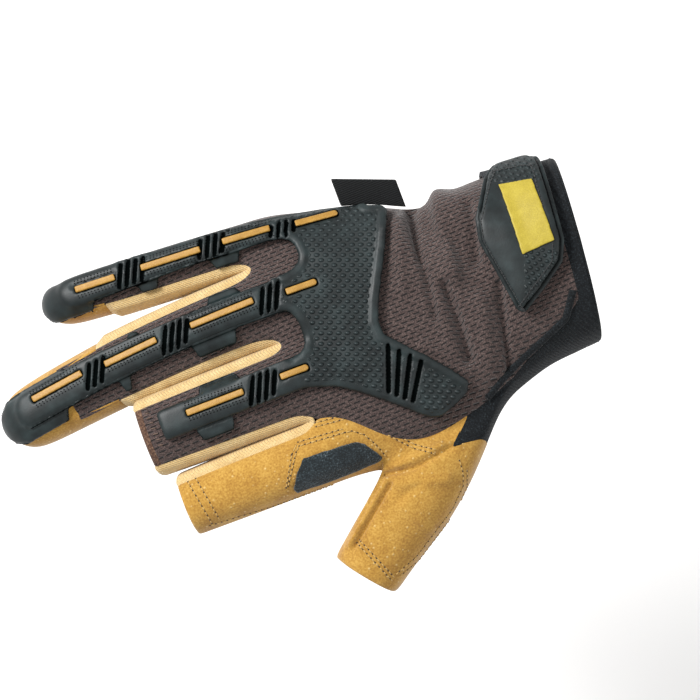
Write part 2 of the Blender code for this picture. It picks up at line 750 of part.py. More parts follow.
def slot_block(start, finish, width, low, high):
    """A block along a plan line."""
    line = (finish - start).normalized()
    side = Vector((-line.y, line.x)) * width / 2
    return prism([start + side, start - side, finish - side, finish + side], low, high)


def boolean(item, operation, other):
    step = item.modifiers.new(operation.lower(), "BOOLEAN")
    step.operation = operation
    step.solver = "EXACT"
    step.object = other


def cutter(bm, name, cutters):
    item = add_object(bm, name, cutters)
    item.hide_render = True
    item.display_type = "WIRE"
    return item


def on_guard(face, mark, column, spare=False):
    """The faces of the cage that the guard can lie on. Spare adds a border round the tips for the cuts."""
    middle = face.calc_center_median()
    if middle.x > -0.45 * HAND_LENGTH or PANELS[face[mark]] not in ("back_mesh", "palm_leather"):
        return False
    little = finger_number("little")
    spot = face[column]
    if not spot:
        outer = middle.y > root_edge(little) + 0.3 * root_width(little)
        return middle.x > -HAND_LENGTH and face.normal.z > (0.12 if outer else 0.62)
    on_little = middle.y > root_edge(little)
    base = (1, 2, 3, 4, 5, 14) if on_little else (1, 2, 3, 4)
    extra = (6, 13, TIP_ROW) if on_little else (5, 14, TIP_ROW)
    if spot < DOME:
        return spot in base
    return spot - DOME in base or spare and spot - DOME in extra


def carve(guard, cage, name, blocks, floor, cutters):
    """Takes the blocks out of the guard, down to a floor that follows the hand."""
    sheet = cut_sheet(cage, lambda face, mark, column: on_guard(face, mark, column, True), 0)
    thicken(sheet, floor, PIECE_GAP + GUARD_THICK + OVERCUT)
    item = cutter(sheet, name, cutters)
    boolean(item, "INTERSECT", cutter(blocks, name + "_blocks", cutters))
    boolean(guard, "DIFFERENCE", item)


def flange_blocks():
    """Blocks over the guard's thin tabs, outside the raised rails, and one round each covered tip."""
    blocks = bmesh.new()
    for tab in TABS:
        last = RAILS[tab.finger][-1].along
        if tab.end >= last:
            continue
        shoulder = 2 * TAB_SHOULDER / FINGERS[finger_number(tab.finger)].length
        ends = (tab.start - shoulder, tab.end + shoulder)
        reach = tab.reach + copysign(TAB_MARGIN, tab.reach)
        corners = [beside_finger(tab.finger, along, rail_edge(tab.finger, tab.side, along)) for along in ends]
        corners += [beside_finger(tab.finger, along, reach) for along in reversed(ends)]
        join_into(blocks, prism(corners, BLOCK_LOW, BLOCK_HIGH))
    for name, start, end in TIP_RAILS:
        far = 1.0 + FINGER_THICK / FINGERS[finger_number(name)].length
        steps = [mix(start, end, n / 3) for n in range(4)]
        middle = (rail_edge(name, "little", end) + rail_edge(name, "thumb", end)) / 2
        little = [beside_finger(name, along, rail_edge(name, "little", along)) for along in steps]
        thumb = [beside_finger(name, along, rail_edge(name, "thumb", along)) for along in steps]
        nose = end + GUARD_THICK / FINGERS[finger_number(name)].length
        inner = little + [beside_finger(name, nose, middle + side) for side in (NOSE_HALF, -NOSE_HALF)]
        inner += list(reversed(thumb))
        outer = [beside_finger(name, start, -0.7), beside_finger(name, far, -0.7),
                 beside_finger(name, far, 0.7), beside_finger(name, start, 0.7)]
        join_into(blocks, prism(inner + outer, BLOCK_LOW, BLOCK_HIGH))
    return blocks


def groove_blocks():
    """Blocks for the grooves across the rails and for those of the hinge to the thumb's side."""
    blocks = bmesh.new()
    for rib in RIBS:
        length = FINGERS[finger_number(rib.finger)].length
        for step in range(rib.count):
            along = rib.middle + (step - (rib.count - 1) / 2) * GROOVE_PITCH / length
            near = beside_finger(rib.finger, along, rib.thumb)
            far = beside_finger(rib.finger, along, rib.little)
            lean = rib.lean * (far.y - near.y) / 2
            near.x -= lean
            far.x += lean
            join_into(blocks, slot_block(near, far, GROOVE_WIDTH, BLOCK_LOW, BLOCK_HIGH))
    first, second, third, fourth = plan_points((PANEL_EDGE[-1], HINGE_EDGE[-4], HINGE_EDGE[1], HINGE_EDGE[-5]))
    for step in range(HINGE_GROOVES):
        share = mix(HINGE_MARGIN, 1 - HINGE_MARGIN, step / (HINGE_GROOVES - 1))
        near = first.lerp(third, share)
        far = second.lerp(fourth, share)
        inset = (far - near) * HINGE_MARGIN
        join_into(blocks, slot_block(near + inset, far - inset, GROOVE_WIDTH, BLOCK_LOW, BLOCK_HIGH))
    return blocks


def bar_ends(bar):
    return beside_finger(bar.finger, bar.start, bar.line), beside_finger(bar.finger, bar.end, bar.line)


def build_guard(cage, glove, cutters, rubber, gold):
    top = PIECE_GAP + GUARD_THICK
    base = cut_sheet(cage, on_guard, PIECE_GAP)
    thicken(base, PIECE_GAP, top)
    guard = add_object(base, "knuckle_guard", glove, rubber)
    outline = prism(guard_outline(), BLOCK_LOW, BLOCK_HIGH)
    boolean(guard, "INTERSECT", cutter(outline, "guard_outline", cutters))
    carve(guard, cage, "flange_cut", flange_blocks(), PIECE_GAP + FLANGE_THICK, cutters)
    carve(guard, cage, "groove_cut", groove_blocks(), top - GROOVE_DEPTH, cutters)
    slots = bmesh.new()
    for bar in BARS:
        near, far = bar_ends(bar)
        play = (far - near).normalized() * PIECE_GAP
        join_into(slots, slot_block(near - play, far + play, BAR_WIDTH + 2 * PIECE_GAP, BLOCK_LOW, BLOCK_HIGH))
    carve(guard, cage, "slot_cut", slots, top - BAR_DEPTH - PIECE_GAP, cutters)
    weld = guard.modifiers.new("weld", "WELD")
    weld.merge_threshold = MERGE_REACH
    for number, bar in enumerate(BARS, 1):
        near, far = bar_ends(bar)
        sheet = cut_sheet(cage, lambda f, mark, column: on_guard(f, mark, column) and is_near(f, near, far), 0)
        thicken(sheet, top - BAR_DEPTH, top + BAR_PROUD)
        item = add_object(sheet, f"inlay_bar_{number}", glove, gold)
        block = slot_block(near, far, BAR_WIDTH, BLOCK_LOW, BLOCK_HIGH)
        boolean(item, "INTERSECT", cutter(block, f"bar_block_{number}", cutters))


def is_near(face, near, far):
    reach = 0.009
    middle = face.calc_center_median()
    low = (min(near.x, far.x) - reach, min(near.y, far.y) - reach)
    high = (max(near.x, far.x) + reach, max(near.y, far.y) + reach)
    return low[0] < middle.x < high[0] and low[1] < middle.y < high[1]


def build_patch(cage, glove, cutters, suede):
    def on_index(face, mark, column):
        middle = face.calc_center_median()
        side = middle.y < root_edge(1) and face.normal.y < 0.35 and face.normal.z > -0.3
        along = -middle.x / HAND_LENGTH
        return side and face[column] != THUMB_MARK and PATCH_REACH[0] < along < PATCH_REACH[1]
    sheet = cut_sheet(cage, on_index, 0)
    thicken(sheet, PIECE_GAP, PIECE_GAP + PATCH_THICK)
    item = add_object(sheet, "saddle_patch", glove, suede)
    height = HAND_THICK * PATCH_LEVEL
    points = [Vector((p.x, p.y + tan(PATCH_LEAN) * height)) for p in plan_points(PATCH_EDGE)]
    block = prism(points, 0.0, HAND_THICK * PATCH_BLOCK_TOP, PATCH_LEAN)
    boolean(item, "INTERSECT", cutter(block, "patch_block", cutters))


def build_strap(cage, glove, cutters, finishes):
    def round_wrist(face, mark, column):
        middle = face.calc_center_median()
        along = -(middle.x - middle.y * tan(MOUTH_SLANT)) / HAND_LENGTH
        if not STRAP_START < along < STRAP_START + STRAP_WIDTH / HAND_LENGTH:
            return False
        return middle.y > 0.02 * HAND_WIDTH or middle.z < 0 and middle.y > -0.24 * HAND_WIDTH

    def under_tab(face, mark, column):
        middle = face.calc_center_median()
        return middle.x > -0.42 * HAND_LENGTH and face.normal.z > 0.0 and middle.y > -0.30 * HAND_WIDTH
    sheet = cut_sheet(cage, round_wrist, 0)
    thicken(sheet, PIECE_GAP, PIECE_GAP + STRAP_THICK)
    add_object(sheet, "wrist_strap", glove, finishes["strap"])
    tab_low = 2 * PIECE_GAP + STRAP_THICK
    sheet = cut_sheet(cage, under_tab, 0)
    thicken(sheet, tab_low, tab_low + TAB_THICK)
    tab = add_object(sheet, "strap_tab", glove, finishes["rubber"])
    outline = prism(plan_points(TAB_EDGE), BLOCK_LOW, BLOCK_HIGH)
    boolean(tab, "INTERSECT", cutter(outline, "tab_block", cutters))
    sheet = cut_sheet(cage, under_tab, 0)
    plate_low = tab_low + TAB_THICK + PIECE_GAP
    thicken(sheet, plate_low, plate_low + PLATE_THICK)
    plate = add_object(sheet, "tab_plate", glove, finishes["gold"])
    outline = prism(plan_points(PLATE_EDGE), BLOCK_LOW, BLOCK_HIGH)
    boolean(plate, "INTERSECT", cutter(outline, "plate_block", cutters))


def build_label(cage, glove, finish):
    """A folded woven strip that stands out of the seam on the little finger's side."""
    tree = BVHTree.FromBMesh(cage)
    bm = bmesh.new()
    steps = 5
    height = HAND_THICK * LABEL_LEVEL
    inner = []
    outer = []
    for step in range(steps + 1):
        x = -LABEL_START * HAND_LENGTH - LABEL_LENGTH * step / steps
        hit = tree.ray_cast(Vector((x, HAND_WIDTH, height)), Vector((0, -1, 0)))[0]
        inner.append(hit.y + 2 * PIECE_GAP)
        outer.append(x)
    slope = (inner[-1] - inner[0]) / LABEL_LENGTH
    near = [bm.verts.new((x, y, height)) for x, y in zip(outer, inner)]
    far = [bm.verts.new((x, inner[0] + slope * LABEL_LENGTH * n / steps + LABEL_WIDTH, height + LABEL_WIDTH * 0.2))
           for n, x in enumerate(outer)]
    for step in range(steps):
        bm.faces.new((near[step], near[step + 1], far[step + 1], far[step]))
    item = add_object(bm, "side_label", glove, finish)
    wall = item.modifiers.new("wall", "SOLIDIFY")
    wall.thickness = LABEL_THICK
    wall.offset = 0


def main():
    for item in list(bpy.data.objects):
        bpy.data.objects.remove(item, do_unlink=True)
    glove = bpy.data.collections.new("impact_glove")
    cutters = bpy.data.collections.new("cutters")
    bpy.context.scene.collection.children.link(glove)
    bpy.context.scene.collection.children.link(cutters)
    leather = material("tan_leather", (0.58, 0.30, 0.08), 0.85)
    beige = material("beige_knit", (0.80, 0.60, 0.30), 0.9)
    black = material("black_stretch", (0.012, 0.014, 0.014), 0.9)
    rubber = material("moulded_rubber", (0.025, 0.033, 0.036), 0.55)
    gold = material("gold_rubber", (0.69, 0.38, 0.05), 0.5)
    suede = material("black_suede", (0.025, 0.033, 0.036), 0.95)
    finishes = {
        "back_mesh": material("brown_mesh", (0.08, 0.055, 0.05), 0.9),
        "palm_leather": leather,
        "index_thumb_leather": leather,
        "stretch_panel": black,
        "cuff_band": black,
        "middle_hem": material("brown_binding", (0.06, 0.04, 0.03), 0.9),
        "strap": black,
        "rubber": rubber,
        "gold": gold,
    }
    cage = build_cage()
    for name in PANELS:
        number = PANEL[name]
        setback = PIECE_GAP * (STRIP_SETBACK if name.startswith("fourchette") else PANEL_SETBACK)
        sheet = cut_sheet(cage, lambda face, mark, column: face[mark] == number, setback)
        thicken(sheet, -CLOTH_WALL, 0.0)
        add_object(sheet, name, glove, finishes.get(name, beige))
    build_guard(cage, glove, cutters, rubber, gold)
    build_patch(cage, glove, cutters, suede)
    build_strap(cage, glove, cutters, finishes)
    build_label(cage, glove, black)
    cage.free()


main()
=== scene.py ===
from math import cos, exp, hypot, radians, sin

import bmesh
import bpy
import numpy as np
from mathutils import Matrix, Vector
from mathutils.bvhtree import BVHTree
from mathutils.kdtree import KDTree


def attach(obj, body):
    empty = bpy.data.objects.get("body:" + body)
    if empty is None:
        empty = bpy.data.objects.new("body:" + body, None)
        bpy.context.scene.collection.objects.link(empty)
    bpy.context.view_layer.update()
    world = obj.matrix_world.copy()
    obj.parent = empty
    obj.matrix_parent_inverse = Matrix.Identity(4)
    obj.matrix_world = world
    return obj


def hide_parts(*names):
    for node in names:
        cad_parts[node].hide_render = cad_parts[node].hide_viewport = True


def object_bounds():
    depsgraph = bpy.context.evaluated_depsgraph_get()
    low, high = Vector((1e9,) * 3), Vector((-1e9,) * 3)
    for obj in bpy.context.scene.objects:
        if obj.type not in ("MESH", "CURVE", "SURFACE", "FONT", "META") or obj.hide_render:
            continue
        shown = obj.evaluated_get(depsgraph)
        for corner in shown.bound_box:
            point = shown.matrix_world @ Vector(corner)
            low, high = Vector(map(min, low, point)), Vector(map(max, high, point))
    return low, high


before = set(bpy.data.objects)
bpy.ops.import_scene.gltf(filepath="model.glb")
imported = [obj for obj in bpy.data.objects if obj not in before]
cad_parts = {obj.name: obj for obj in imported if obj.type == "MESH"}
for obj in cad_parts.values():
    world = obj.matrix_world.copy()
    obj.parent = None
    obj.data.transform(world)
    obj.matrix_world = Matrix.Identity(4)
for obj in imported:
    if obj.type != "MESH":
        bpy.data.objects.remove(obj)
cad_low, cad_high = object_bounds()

# The studio: a plain pale floor under the glove, a wide soft light from above and the far side, and a long
# lens that looks almost straight down on the back of the hand, turned a little to the thumb's side.
VIEW_TURN = radians(-21)
VIEW_HEIGHT = radians(84)
CAMERA_REACH = 1.5
PIXEL = 0.000345
FRAME_SIDE = 700
FILM_WIDTH = 36
VIEW_SIDE = Vector((cos(VIEW_TURN), sin(VIEW_TURN), 0))
VIEW_BACK = Vector((sin(VIEW_TURN) * cos(VIEW_HEIGHT), -cos(VIEW_TURN) * cos(VIEW_HEIGHT), sin(VIEW_HEIGHT)))
VIEW_UP = VIEW_BACK.cross(VIEW_SIDE)
FLOOR_DROP = 0.20
WRIST_ACROSS = 578
WRIST_DOWN = 248.5
CLOTH_FROM = 0.7
RUBBER_SHINE = 0.5
CLOTH_SHINE = 0.2


def view_spot(across, down):
    """A point in the plane of the wrist from its place in the frame, in pixels of a 700 pixel view."""
    return VIEW_SIDE * (across - WRIST_ACROSS) * PIXEL - VIEW_UP * (down - WRIST_DOWN) * PIXEL


def frame_place(point):
    """Where a point of the glove shows in the frame, in pixels."""
    return WRIST_ACROSS + point.dot(VIEW_SIDE) / PIXEL, WRIST_DOWN - point.dot(VIEW_UP) / PIXEL


def tone(hex_colour):
    """Linear colour of an sRGB hex value."""
    values = [int(hex_colour[n:n + 2], 16) / 255 for n in (1, 3, 5)]
    return tuple(v / 12.92 if v <= 0.04045 else ((v + 0.055) / 1.055) ** 2.4 for v in values) + (1.0,)


def start_material(name, hex_colour, roughness, sheen=0.0):
    """A plain material. Cloth and leather, the rough ones, shine less than rubber."""
    made = bpy.data.materials.new(name)
    made.use_nodes = True
    shader = made.node_tree.nodes["Principled BSDF"]
    shader.inputs["Base Color"].default_value = tone(hex_colour)
    shader.inputs["Roughness"].default_value = roughness
    shader.inputs["Sheen Weight"].default_value = sheen
    shader.inputs["Sheen Roughness"].default_value = 0.5
    shader.inputs["Specular IOR Level"].default_value = RUBBER_SHINE if roughness < CLOTH_FROM else CLOTH_SHINE
    return made


floor_bm = bmesh.new()
bmesh.ops.create_grid(floor_bm, x_segments=1, y_segments=1, size=4.0)
bmesh.ops.translate(floor_bm, verts=floor_bm.verts, vec=(0, 0, cad_low.z - FLOOR_DROP))
floor_mesh = bpy.data.meshes.new("floor")
floor_bm.to_mesh(floor_mesh)
floor_bm.free()
floor = bpy.data.objects.new("floor", floor_mesh)
bpy.context.scene.collection.objects.link(floor)
floor_mesh.materials.append(start_material("pale_studio_paper", "#fbfbfb", 0.9))

camera_data = bpy.data.cameras.new("camera")
camera_data.sensor_width = FILM_WIDTH
camera_data.lens = FILM_WIDTH * CAMERA_REACH / (FRAME_SIDE * PIXEL)
camera_data.clip_end = 20
camera = bpy.data.objects.new("camera", camera_data)
camera.location = view_spot(FRAME_SIDE / 2, FRAME_SIDE / 2) + VIEW_BACK * CAMERA_REACH
camera.rotation_euler = VIEW_BACK.to_track_quat("Z", "Y").to_euler()
bpy.context.scene.collection.objects.link(camera)
bpy.context.scene.camera = camera
bpy.context.scene.view_settings.view_transform = "Standard"

world = bpy.data.worlds.new("studio")
world.use_nodes = True
world.node_tree.nodes["Background"].inputs["Color"].default_value = (1.0, 1.0, 1.0, 1.0)
world.node_tree.nodes["Background"].inputs["Strength"].default_value = 0.58
bpy.context.scene.world = world
for lamp_name, place, size, power in (("key_light", (-0.56, 0.54, 0.66), 0.36, 13.0),
                                      ("fill_light", (0.50, -0.50, 0.70), 0.9, 3.0)):
    lamp_data = bpy.data.lights.new(lamp_name, "AREA")
    lamp_data.size = size
    lamp_data.energy = power
    lamp = bpy.data.objects.new(lamp_name, lamp_data)
    lamp.location = place
    lamp.rotation_euler = Vector(place).to_track_quat("Z", "Y").to_euler()
    bpy.context.scene.collection.objects.link(lamp)


# The back of the hand: one sheet of brown warp-knit mesh, sewn to its neighbours along its edge and turned in
# there. Its open knit shows as short slits in rows along the hand, painted near-black as the shade in them,
# and it lies in soft folds by the wrist.
WALL = 0.0013
SEAM_TUCK = 0.0006
SEAM_REACH = 0.0008
SHARP_EDGE = radians(52)
HIDDEN_UNDER = 0.28
RIM_AREA = 6e-6
RIM_BREADTH = 0.00045
FOLD_FADE = 0.003
SLIT_PITCH = 3.3
SLIT_ROW = 1.45
SLIT_LONG = 0.38
SLIT_WIDE = 0.21
MESH_FOLDS = (((410, 205), (421, 262), 5, -0.0034), ((421, 262), (434, 318), 4, -0.0026),
              ((438, 190), (450, 275), 11, 0.0032), ((397, 222), (402, 290), 7, 0.0016),
              ((444, 285), (468, 360), 5, -0.0032), ((432, 300), (452, 352), 7, 0.0010),
              ((480, 300), (488, 372), 8, 0.0015), ((496, 285), (509, 374), 4, -0.0024),
              ((466, 205), (474, 262), 5, -0.0022), ((425, 345), (466, 372), 6, 0.0010))


def solid_mesh(node):
    bm = bmesh.new()
    bm.from_mesh(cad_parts[node].data)
    bmesh.ops.remove_doubles(bm, verts=bm.verts, dist=2e-6)
    bmesh.ops.dissolve_degenerate(bm, edges=bm.edges, dist=1e-7)
    bm.normal_update()
    return bm


def all_walls():
    whole = bmesh.new()
    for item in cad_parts.values():
        whole.from_mesh(item.data)
    tree = BVHTree.FromBMesh(whole)
    whole.free()
    return tree


WALLS = all_walls()
LOOKS = [Vector((sin(tilt) * cos(turn), sin(tilt) * sin(turn), cos(tilt)))
         for tilt in (radians(15), radians(45), radians(70)) for turn in (0.3, 1.35, 2.4, 3.4, 4.5, 5.5)]


def open_share(face):
    """How much of the room in front of a face is free of the glove itself."""
    start = face.calc_center_median() + face.normal * 2e-5
    turn = face.normal.to_track_quat("Z", "Y")
    return sum(WALLS.ray_cast(start, turn @ look)[0] is None for look in LOOKS) / len(LOOKS)


def smooth_groups(bm):
    """The mesh's faces in groups that no sharp edge divides."""
    groups = []
    left = set(bm.faces)
    while left:
        group = [left.pop()]
        for face in group:
            for edge in face.edges:
                if len(edge.link_faces) != 2 or edge.calc_face_angle(0) > SHARP_EDGE:
                    continue
                for other in edge.link_faces:
                    if other in left:
                        left.discard(other)
                        group.append(other)
        groups.append(group)
    return groups


def outer_sheet(node):
    """The outer face of a panel's solid as an open sheet of quads, without its inner face and its rims."""
    bm = solid_mesh(node)
    drop = []
    for group in smooth_groups(bm):
        area = sum(f.calc_area() for f in group)
        free = sum(open_share(f) * f.calc_area() for f in group) / area
        edge_length = sum(e.calc_length() for f in group for e in f.edges) / 2
        if free < HIDDEN_UNDER or area < RIM_AREA or area / edge_length < RIM_BREADTH:
            drop += group
    bmesh.ops.delete(bm, geom=drop, context="FACES")
    bmesh.ops.join_triangles(bm, faces=bm.faces, angle_face_threshold=radians(40),
                             angle_shape_threshold=radians(80))
    return bm


def settle(bm, name):
    """Makes a mesh a piece of the glove that rides on its body."""
    mesh = bpy.data.meshes.new(name)
    bm.to_mesh(mesh)
    bm.free()
    item = bpy.data.objects.new(name, mesh)
    bpy.context.scene.collection.objects.link(item)
    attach(item, "root")
    return item


def apply_modifiers(item):
    bpy.context.view_layer.update()
    made = item.evaluated_get(bpy.context.evaluated_depsgraph_get())
    mesh = bpy.data.meshes.new_from_object(made)
    old = item.data
    item.modifiers.clear()
    item.data = mesh
    bpy.data.meshes.remove(old)
    for face in mesh.polygons:
        face.use_smooth = True


def round_off(bm, levels):
    """Subdivides an open sheet into a smooth one, its corners kept."""
    mesh = bpy.data.meshes.new("working")
    bm.to_mesh(mesh)
    bm.free()
    item = bpy.data.objects.new("working", mesh)
    bpy.context.scene.collection.objects.link(item)
    finer = item.modifiers.new("finer", "SUBSURF")
    finer.levels = levels
    finer.render_levels = levels
    finer.boundary_smooth = "PRESERVE_CORNERS"
    bpy.context.view_layer.update()
    made = bpy.data.meshes.new_from_object(item.evaluated_get(bpy.context.evaluated_depsgraph_get()))
    smooth = bmesh.new()
    smooth.from_mesh(made)
    bpy.data.objects.remove(item)
    bpy.data.meshes.remove(mesh)
    bpy.data.meshes.remove(made)
    smooth.normal_update()
    return smooth


def turn_edge_in(bm):
    """Rolls the sheet's border over, down and a little out, to close the seam beside it."""
    border = [e for e in bm.edges if e.is_boundary]
    ways = {}
    for edge in border:
        face = edge.link_faces[0]
        middle = (edge.verts[0].co + edge.verts[1].co) / 2
        out = middle - face.calc_center_median()
        along = (edge.verts[1].co - edge.verts[0].co).normalized()
        out = (out - along * out.dot(along)).normalized()
        for vert in edge.verts:
            ways.setdefault(vert, []).append(out)
    steps = {v: (sum(outs, Vector()).normalized(), v.normal.copy()) for v, outs in ways.items()}
    for share_out, share_down in ((0.6, 0.25), (0.4, 0.75)):
        made = bmesh.ops.extrude_edge_only(bm, edges=border)
        border = [g for g in made["geom"] if isinstance(g, bmesh.types.BMEdge) and g.is_boundary]
        new = {v for e in border for v in e.verts}
        old = {}
        for vert in new:
            for edge in vert.link_edges:
                other = edge.other_vert(vert)
                if other in steps and other not in new:
                    old[vert] = steps[other]
        steps = {}
        for vert, (out, down) in old.items():
            vert.co = vert.co + out * SEAM_REACH * share_out - down * SEAM_TUCK * share_down
            steps[vert] = (out, down)


def border_tree(bm):
    spots = [v.co.copy() for v in bm.verts if v.is_boundary]
    tree = KDTree(len(spots))
    for number, spot in enumerate(spots):
        tree.insert(spot, number)
    tree.balance()
    return tree


def smooth_share(value):
    value = min(max(value, 0.0), 1.0)
    return value * value * (3 - 2 * value)


def press_folds(bm, folds):
    """Raises or sinks a sheet along straight folds, each given by its two ends in the frame."""
    border = border_tree(bm)
    moves = {}
    for vert in bm.verts:
        if vert.normal.z < 0.1:
            continue
        across, down = frame_place(vert.co)
        rise = sink = 0.0
        for (x1, y1), (x2, y2), half, height in folds:
            share = ((across - x1) * (x2 - x1) + (down - y1) * (y2 - y1)) / hypot(x2 - x1, y2 - y1) ** 2
            share = min(max(share, 0.0), 1.0)
            off = hypot(across - x1 - (x2 - x1) * share, down - y1 - (y2 - y1) * share) / half
            rise = max(rise, height * exp(-off * off))
            sink = min(sink, height * exp(-off * off))
        move = rise + sink
        if abs(move) > 1e-6:
            moves[vert] = vert.normal * move * smooth_share(border.find(vert.co)[2] / FOLD_FADE)
    for vert, move in moves.items():
        vert.co += move
    bm.normal_update()


def panel(node, name, finish, levels=2, shape=None):
    """One sewn panel: the solid's outer face made smooth, shaped, turned in at its edge and given a wall."""
    bm = round_off(outer_sheet(node), levels)
    if shape:
        shape(bm)
    turn_edge_in(bm)
    item = settle(bm, name)
    wall = item.modifiers.new("wall", "SOLIDIFY")
    wall.thickness = WALL
    wall.offset = -1
    apply_modifiers(item)
    item.data.materials.clear()
    item.data.materials.append(finish)
    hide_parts(node)
    return item


def put(made, kind, settings=None, links=None):
    """Adds one node to a material, with its settings and its links from other nodes' outputs."""
    node = made.node_tree.nodes.new(kind)
    for key, value in (settings or {}).items():
        if isinstance(key, int) or key in node.inputs:
            node.inputs[key].default_value = value
        else:
            setattr(node, key, value)
    for key, source in (links or {}).items():
        made.node_tree.links.new(source, node.inputs[key])
    return node


def calc(made, operation, *values):
    """One sum on numbers or other nodes' outputs."""
    node = put(made, "ShaderNodeMath", {"operation": operation})
    for number, value in enumerate(values):
        if isinstance(value, (int, float)):
            node.inputs[number].default_value = value
        else:
            made.node_tree.links.new(value, node.inputs[number])
    return node.outputs[0]


def in_mm(made):
    place = put(made, "ShaderNodeTexCoord").outputs["Object"]
    return put(made, "ShaderNodeVectorMath", {"operation": "SCALE", "Scale": 1000.0}, {0: place}).outputs[0]


def noise(made, place, size, detail=2.0):
    """Cloudy noise whose spots are about size millimetres."""
    node = put(made, "ShaderNodeTexNoise", {"Scale": 1.0 / size, "Detail": detail}, {"Vector": place})
    return node.outputs["Fac"]


def specks(made, place, pitch, reach):
    """Small round spots about pitch millimetres apart, 1 in the middle and 0 from reach on."""
    cells = put(made, "ShaderNodeTexVoronoi", {"Scale": 1.0 / pitch}, {"Vector": place}).outputs["Distance"]
    return calc(made, "MAXIMUM", calc(made, "SUBTRACT", 1.0, calc(made, "DIVIDE", cells, reach)), 0.0)


def ramp(made, share, *stops):
    node = put(made, "ShaderNodeValToRGB", links={"Fac": share})
    while len(node.color_ramp.elements) < len(stops):
        node.color_ramp.elements.new(0.5)
    for element, (place, hex_colour) in zip(node.color_ramp.elements, stops):
        element.position = place
        element.color = tone(hex_colour)
    return node.outputs["Color"]


def mingle(made, share, first, hex_colour):
    """A colour that goes from another node's colour to a plain one by a share."""
    node = put(made, "ShaderNodeMix", {"data_type": "RGBA"})
    made.node_tree.links.new(share, node.inputs[0])
    made.node_tree.links.new(first, node.inputs[6])
    node.inputs[7].default_value = tone(hex_colour)
    return node.outputs[2]


def dress(made, colour=None, height=None, relief=0.0, rough=None):
    """Links a material's colour, surface relief in metres and roughness to its shader."""
    shader = made.node_tree.nodes["Principled BSDF"]
    if colour is not None:
        made.node_tree.links.new(colour, shader.inputs["Base Color"])
    if rough is not None:
        made.node_tree.links.new(rough, shader.inputs["Roughness"])
    if height is not None:
        lift = put(made, "ShaderNodeBump", {"Distance": relief}, {"Height": height})
        made.node_tree.links.new(lift.outputs[0], shader.inputs["Normal"])
    return made


def along(made, place, way):
    """How far a point lies in a direction, in millimetres."""
    return put(made, "ShaderNodeVectorMath", {"operation": "DOT_PRODUCT", 1: way}, {0: place}).outputs["Value"]


def brick_cells(made, length, rows, pitch, row):
    """A point's place in its cell, from -0.5 to 0.5, in rows that each start half a cell on."""
    lines = calc(made, "DIVIDE", rows, row)
    shift = calc(made, "MULTIPLY", calc(made, "FLOOR", lines), 0.5)
    cells = calc(made, "ADD", calc(made, "DIVIDE", length, pitch), shift)
    return (calc(made, "SUBTRACT", calc(made, "FRACT", cells), 0.5),
            calc(made, "SUBTRACT", calc(made, "FRACT", lines), 0.5))


def within(made, value, half, soft):
    """1 where a value is within half of 0, and 0 further out, over a soft border."""
    off = calc(made, "SUBTRACT", half, calc(made, "ABSOLUTE", value))
    return calc(made, "MINIMUM", calc(made, "MAXIMUM", calc(made, "DIVIDE", off, soft), 0.0), 1.0)


def air_mesh():
    """Knitted polyester: dull, warm brown, with fine pale loops and open slits painted near-black as shade."""
    made = start_material("polyester_air_mesh", "#5a4a46", 0.82, 0.25)
    place = in_mm(made)
    wavy = noise(made, place, 9.0)
    length = along(made, place, (1.0, 0.0, 0.0))
    rows = calc(made, "ADD", along(made, place, (0.0, 1.0, -0.3)), calc(made, "MULTIPLY", wavy, 0.7))
    cell, line = brick_cells(made, length, rows, SLIT_PITCH, SLIT_ROW)
    slit = calc(made, "MULTIPLY", within(made, cell, SLIT_LONG, 0.10),
                within(made, line, SLIT_WIDE, 0.12))
    loops = noise(made, place, 0.45)
    ground = ramp(made, loops, (0.30, "#2c2221"), (0.52, "#463936"), (0.72, "#6a5a55"))
    # painted shade: the slits are painted near-black for the shade inside the open knit
    colour = mingle(made, calc(made, "MULTIPLY", slit, 0.95), ground, "#0e0909")
    height = calc(made, "SUBTRACT", calc(made, "MULTIPLY", loops, 0.35), slit)
    return dress(made, colour, height, 0.0004)


mesh_back = panel("back_mesh", "mesh_back", air_mesh(), levels=3,
                  shape=lambda bm: press_folds(bm, MESH_FOLDS))


# The palm, the index finger and the thumb: split cowhide in tan, its napped side out. The nap is mottled where
# it was rubbed, with pale flecks, and the thumb's sheet folds over where it meets the hand.
THUMB_FOLDS = (((380, 474), (414, 466), 2.6, -0.0016), ((414, 466), (452, 444), 2.6, -0.0014),
               ((398, 464), (440, 444), 4, 0.0009), ((396, 482), (446, 478), 5, 0.0008),
               ((404, 505), (428, 527), 6, 0.0007), ((400, 496), (420, 482), 4, -0.0006),
               ((390, 482), (354, 545), 1.8, -0.0014), ((386, 480), (350, 543), 2.2, 0.0009),
               ((225, 527), (373, 483), 1.6, -0.0012))


def split_cowhide():
    """Suede: dull and soft to the light, golden tan with darker rubbed patches and small pale flecks."""
    made = start_material("split_cowhide_suede", "#c9953f", 0.9, 0.35)
    place = in_mm(made)
    clouds = noise(made, place, 7.0, 4.0)
    nap = noise(made, place, 0.7, 3.0)
    mixed = calc(made, "ADD", calc(made, "MULTIPLY", clouds, 0.38), calc(made, "MULTIPLY", nap, 0.62))
    ground = ramp(made, mixed, (0.36, "#986d2b"), (0.50, "#ad8237"), (0.64, "#be9547"))
    flecks = specks(made, place, 2.6, 0.20)
    pale = mingle(made, calc(made, "MULTIPLY", flecks, 0.85), ground, "#e0c283")
    pores = specks(made, place, 1.9, 0.16)
    colour = mingle(made, calc(made, "MULTIPLY", pores, 0.45), pale, "#7d5520")
    height = calc(made, "ADD", calc(made, "MULTIPLY", nap, 0.6), calc(made, "MULTIPLY", flecks, 0.7))
    return dress(made, colour, height, 0.00028)


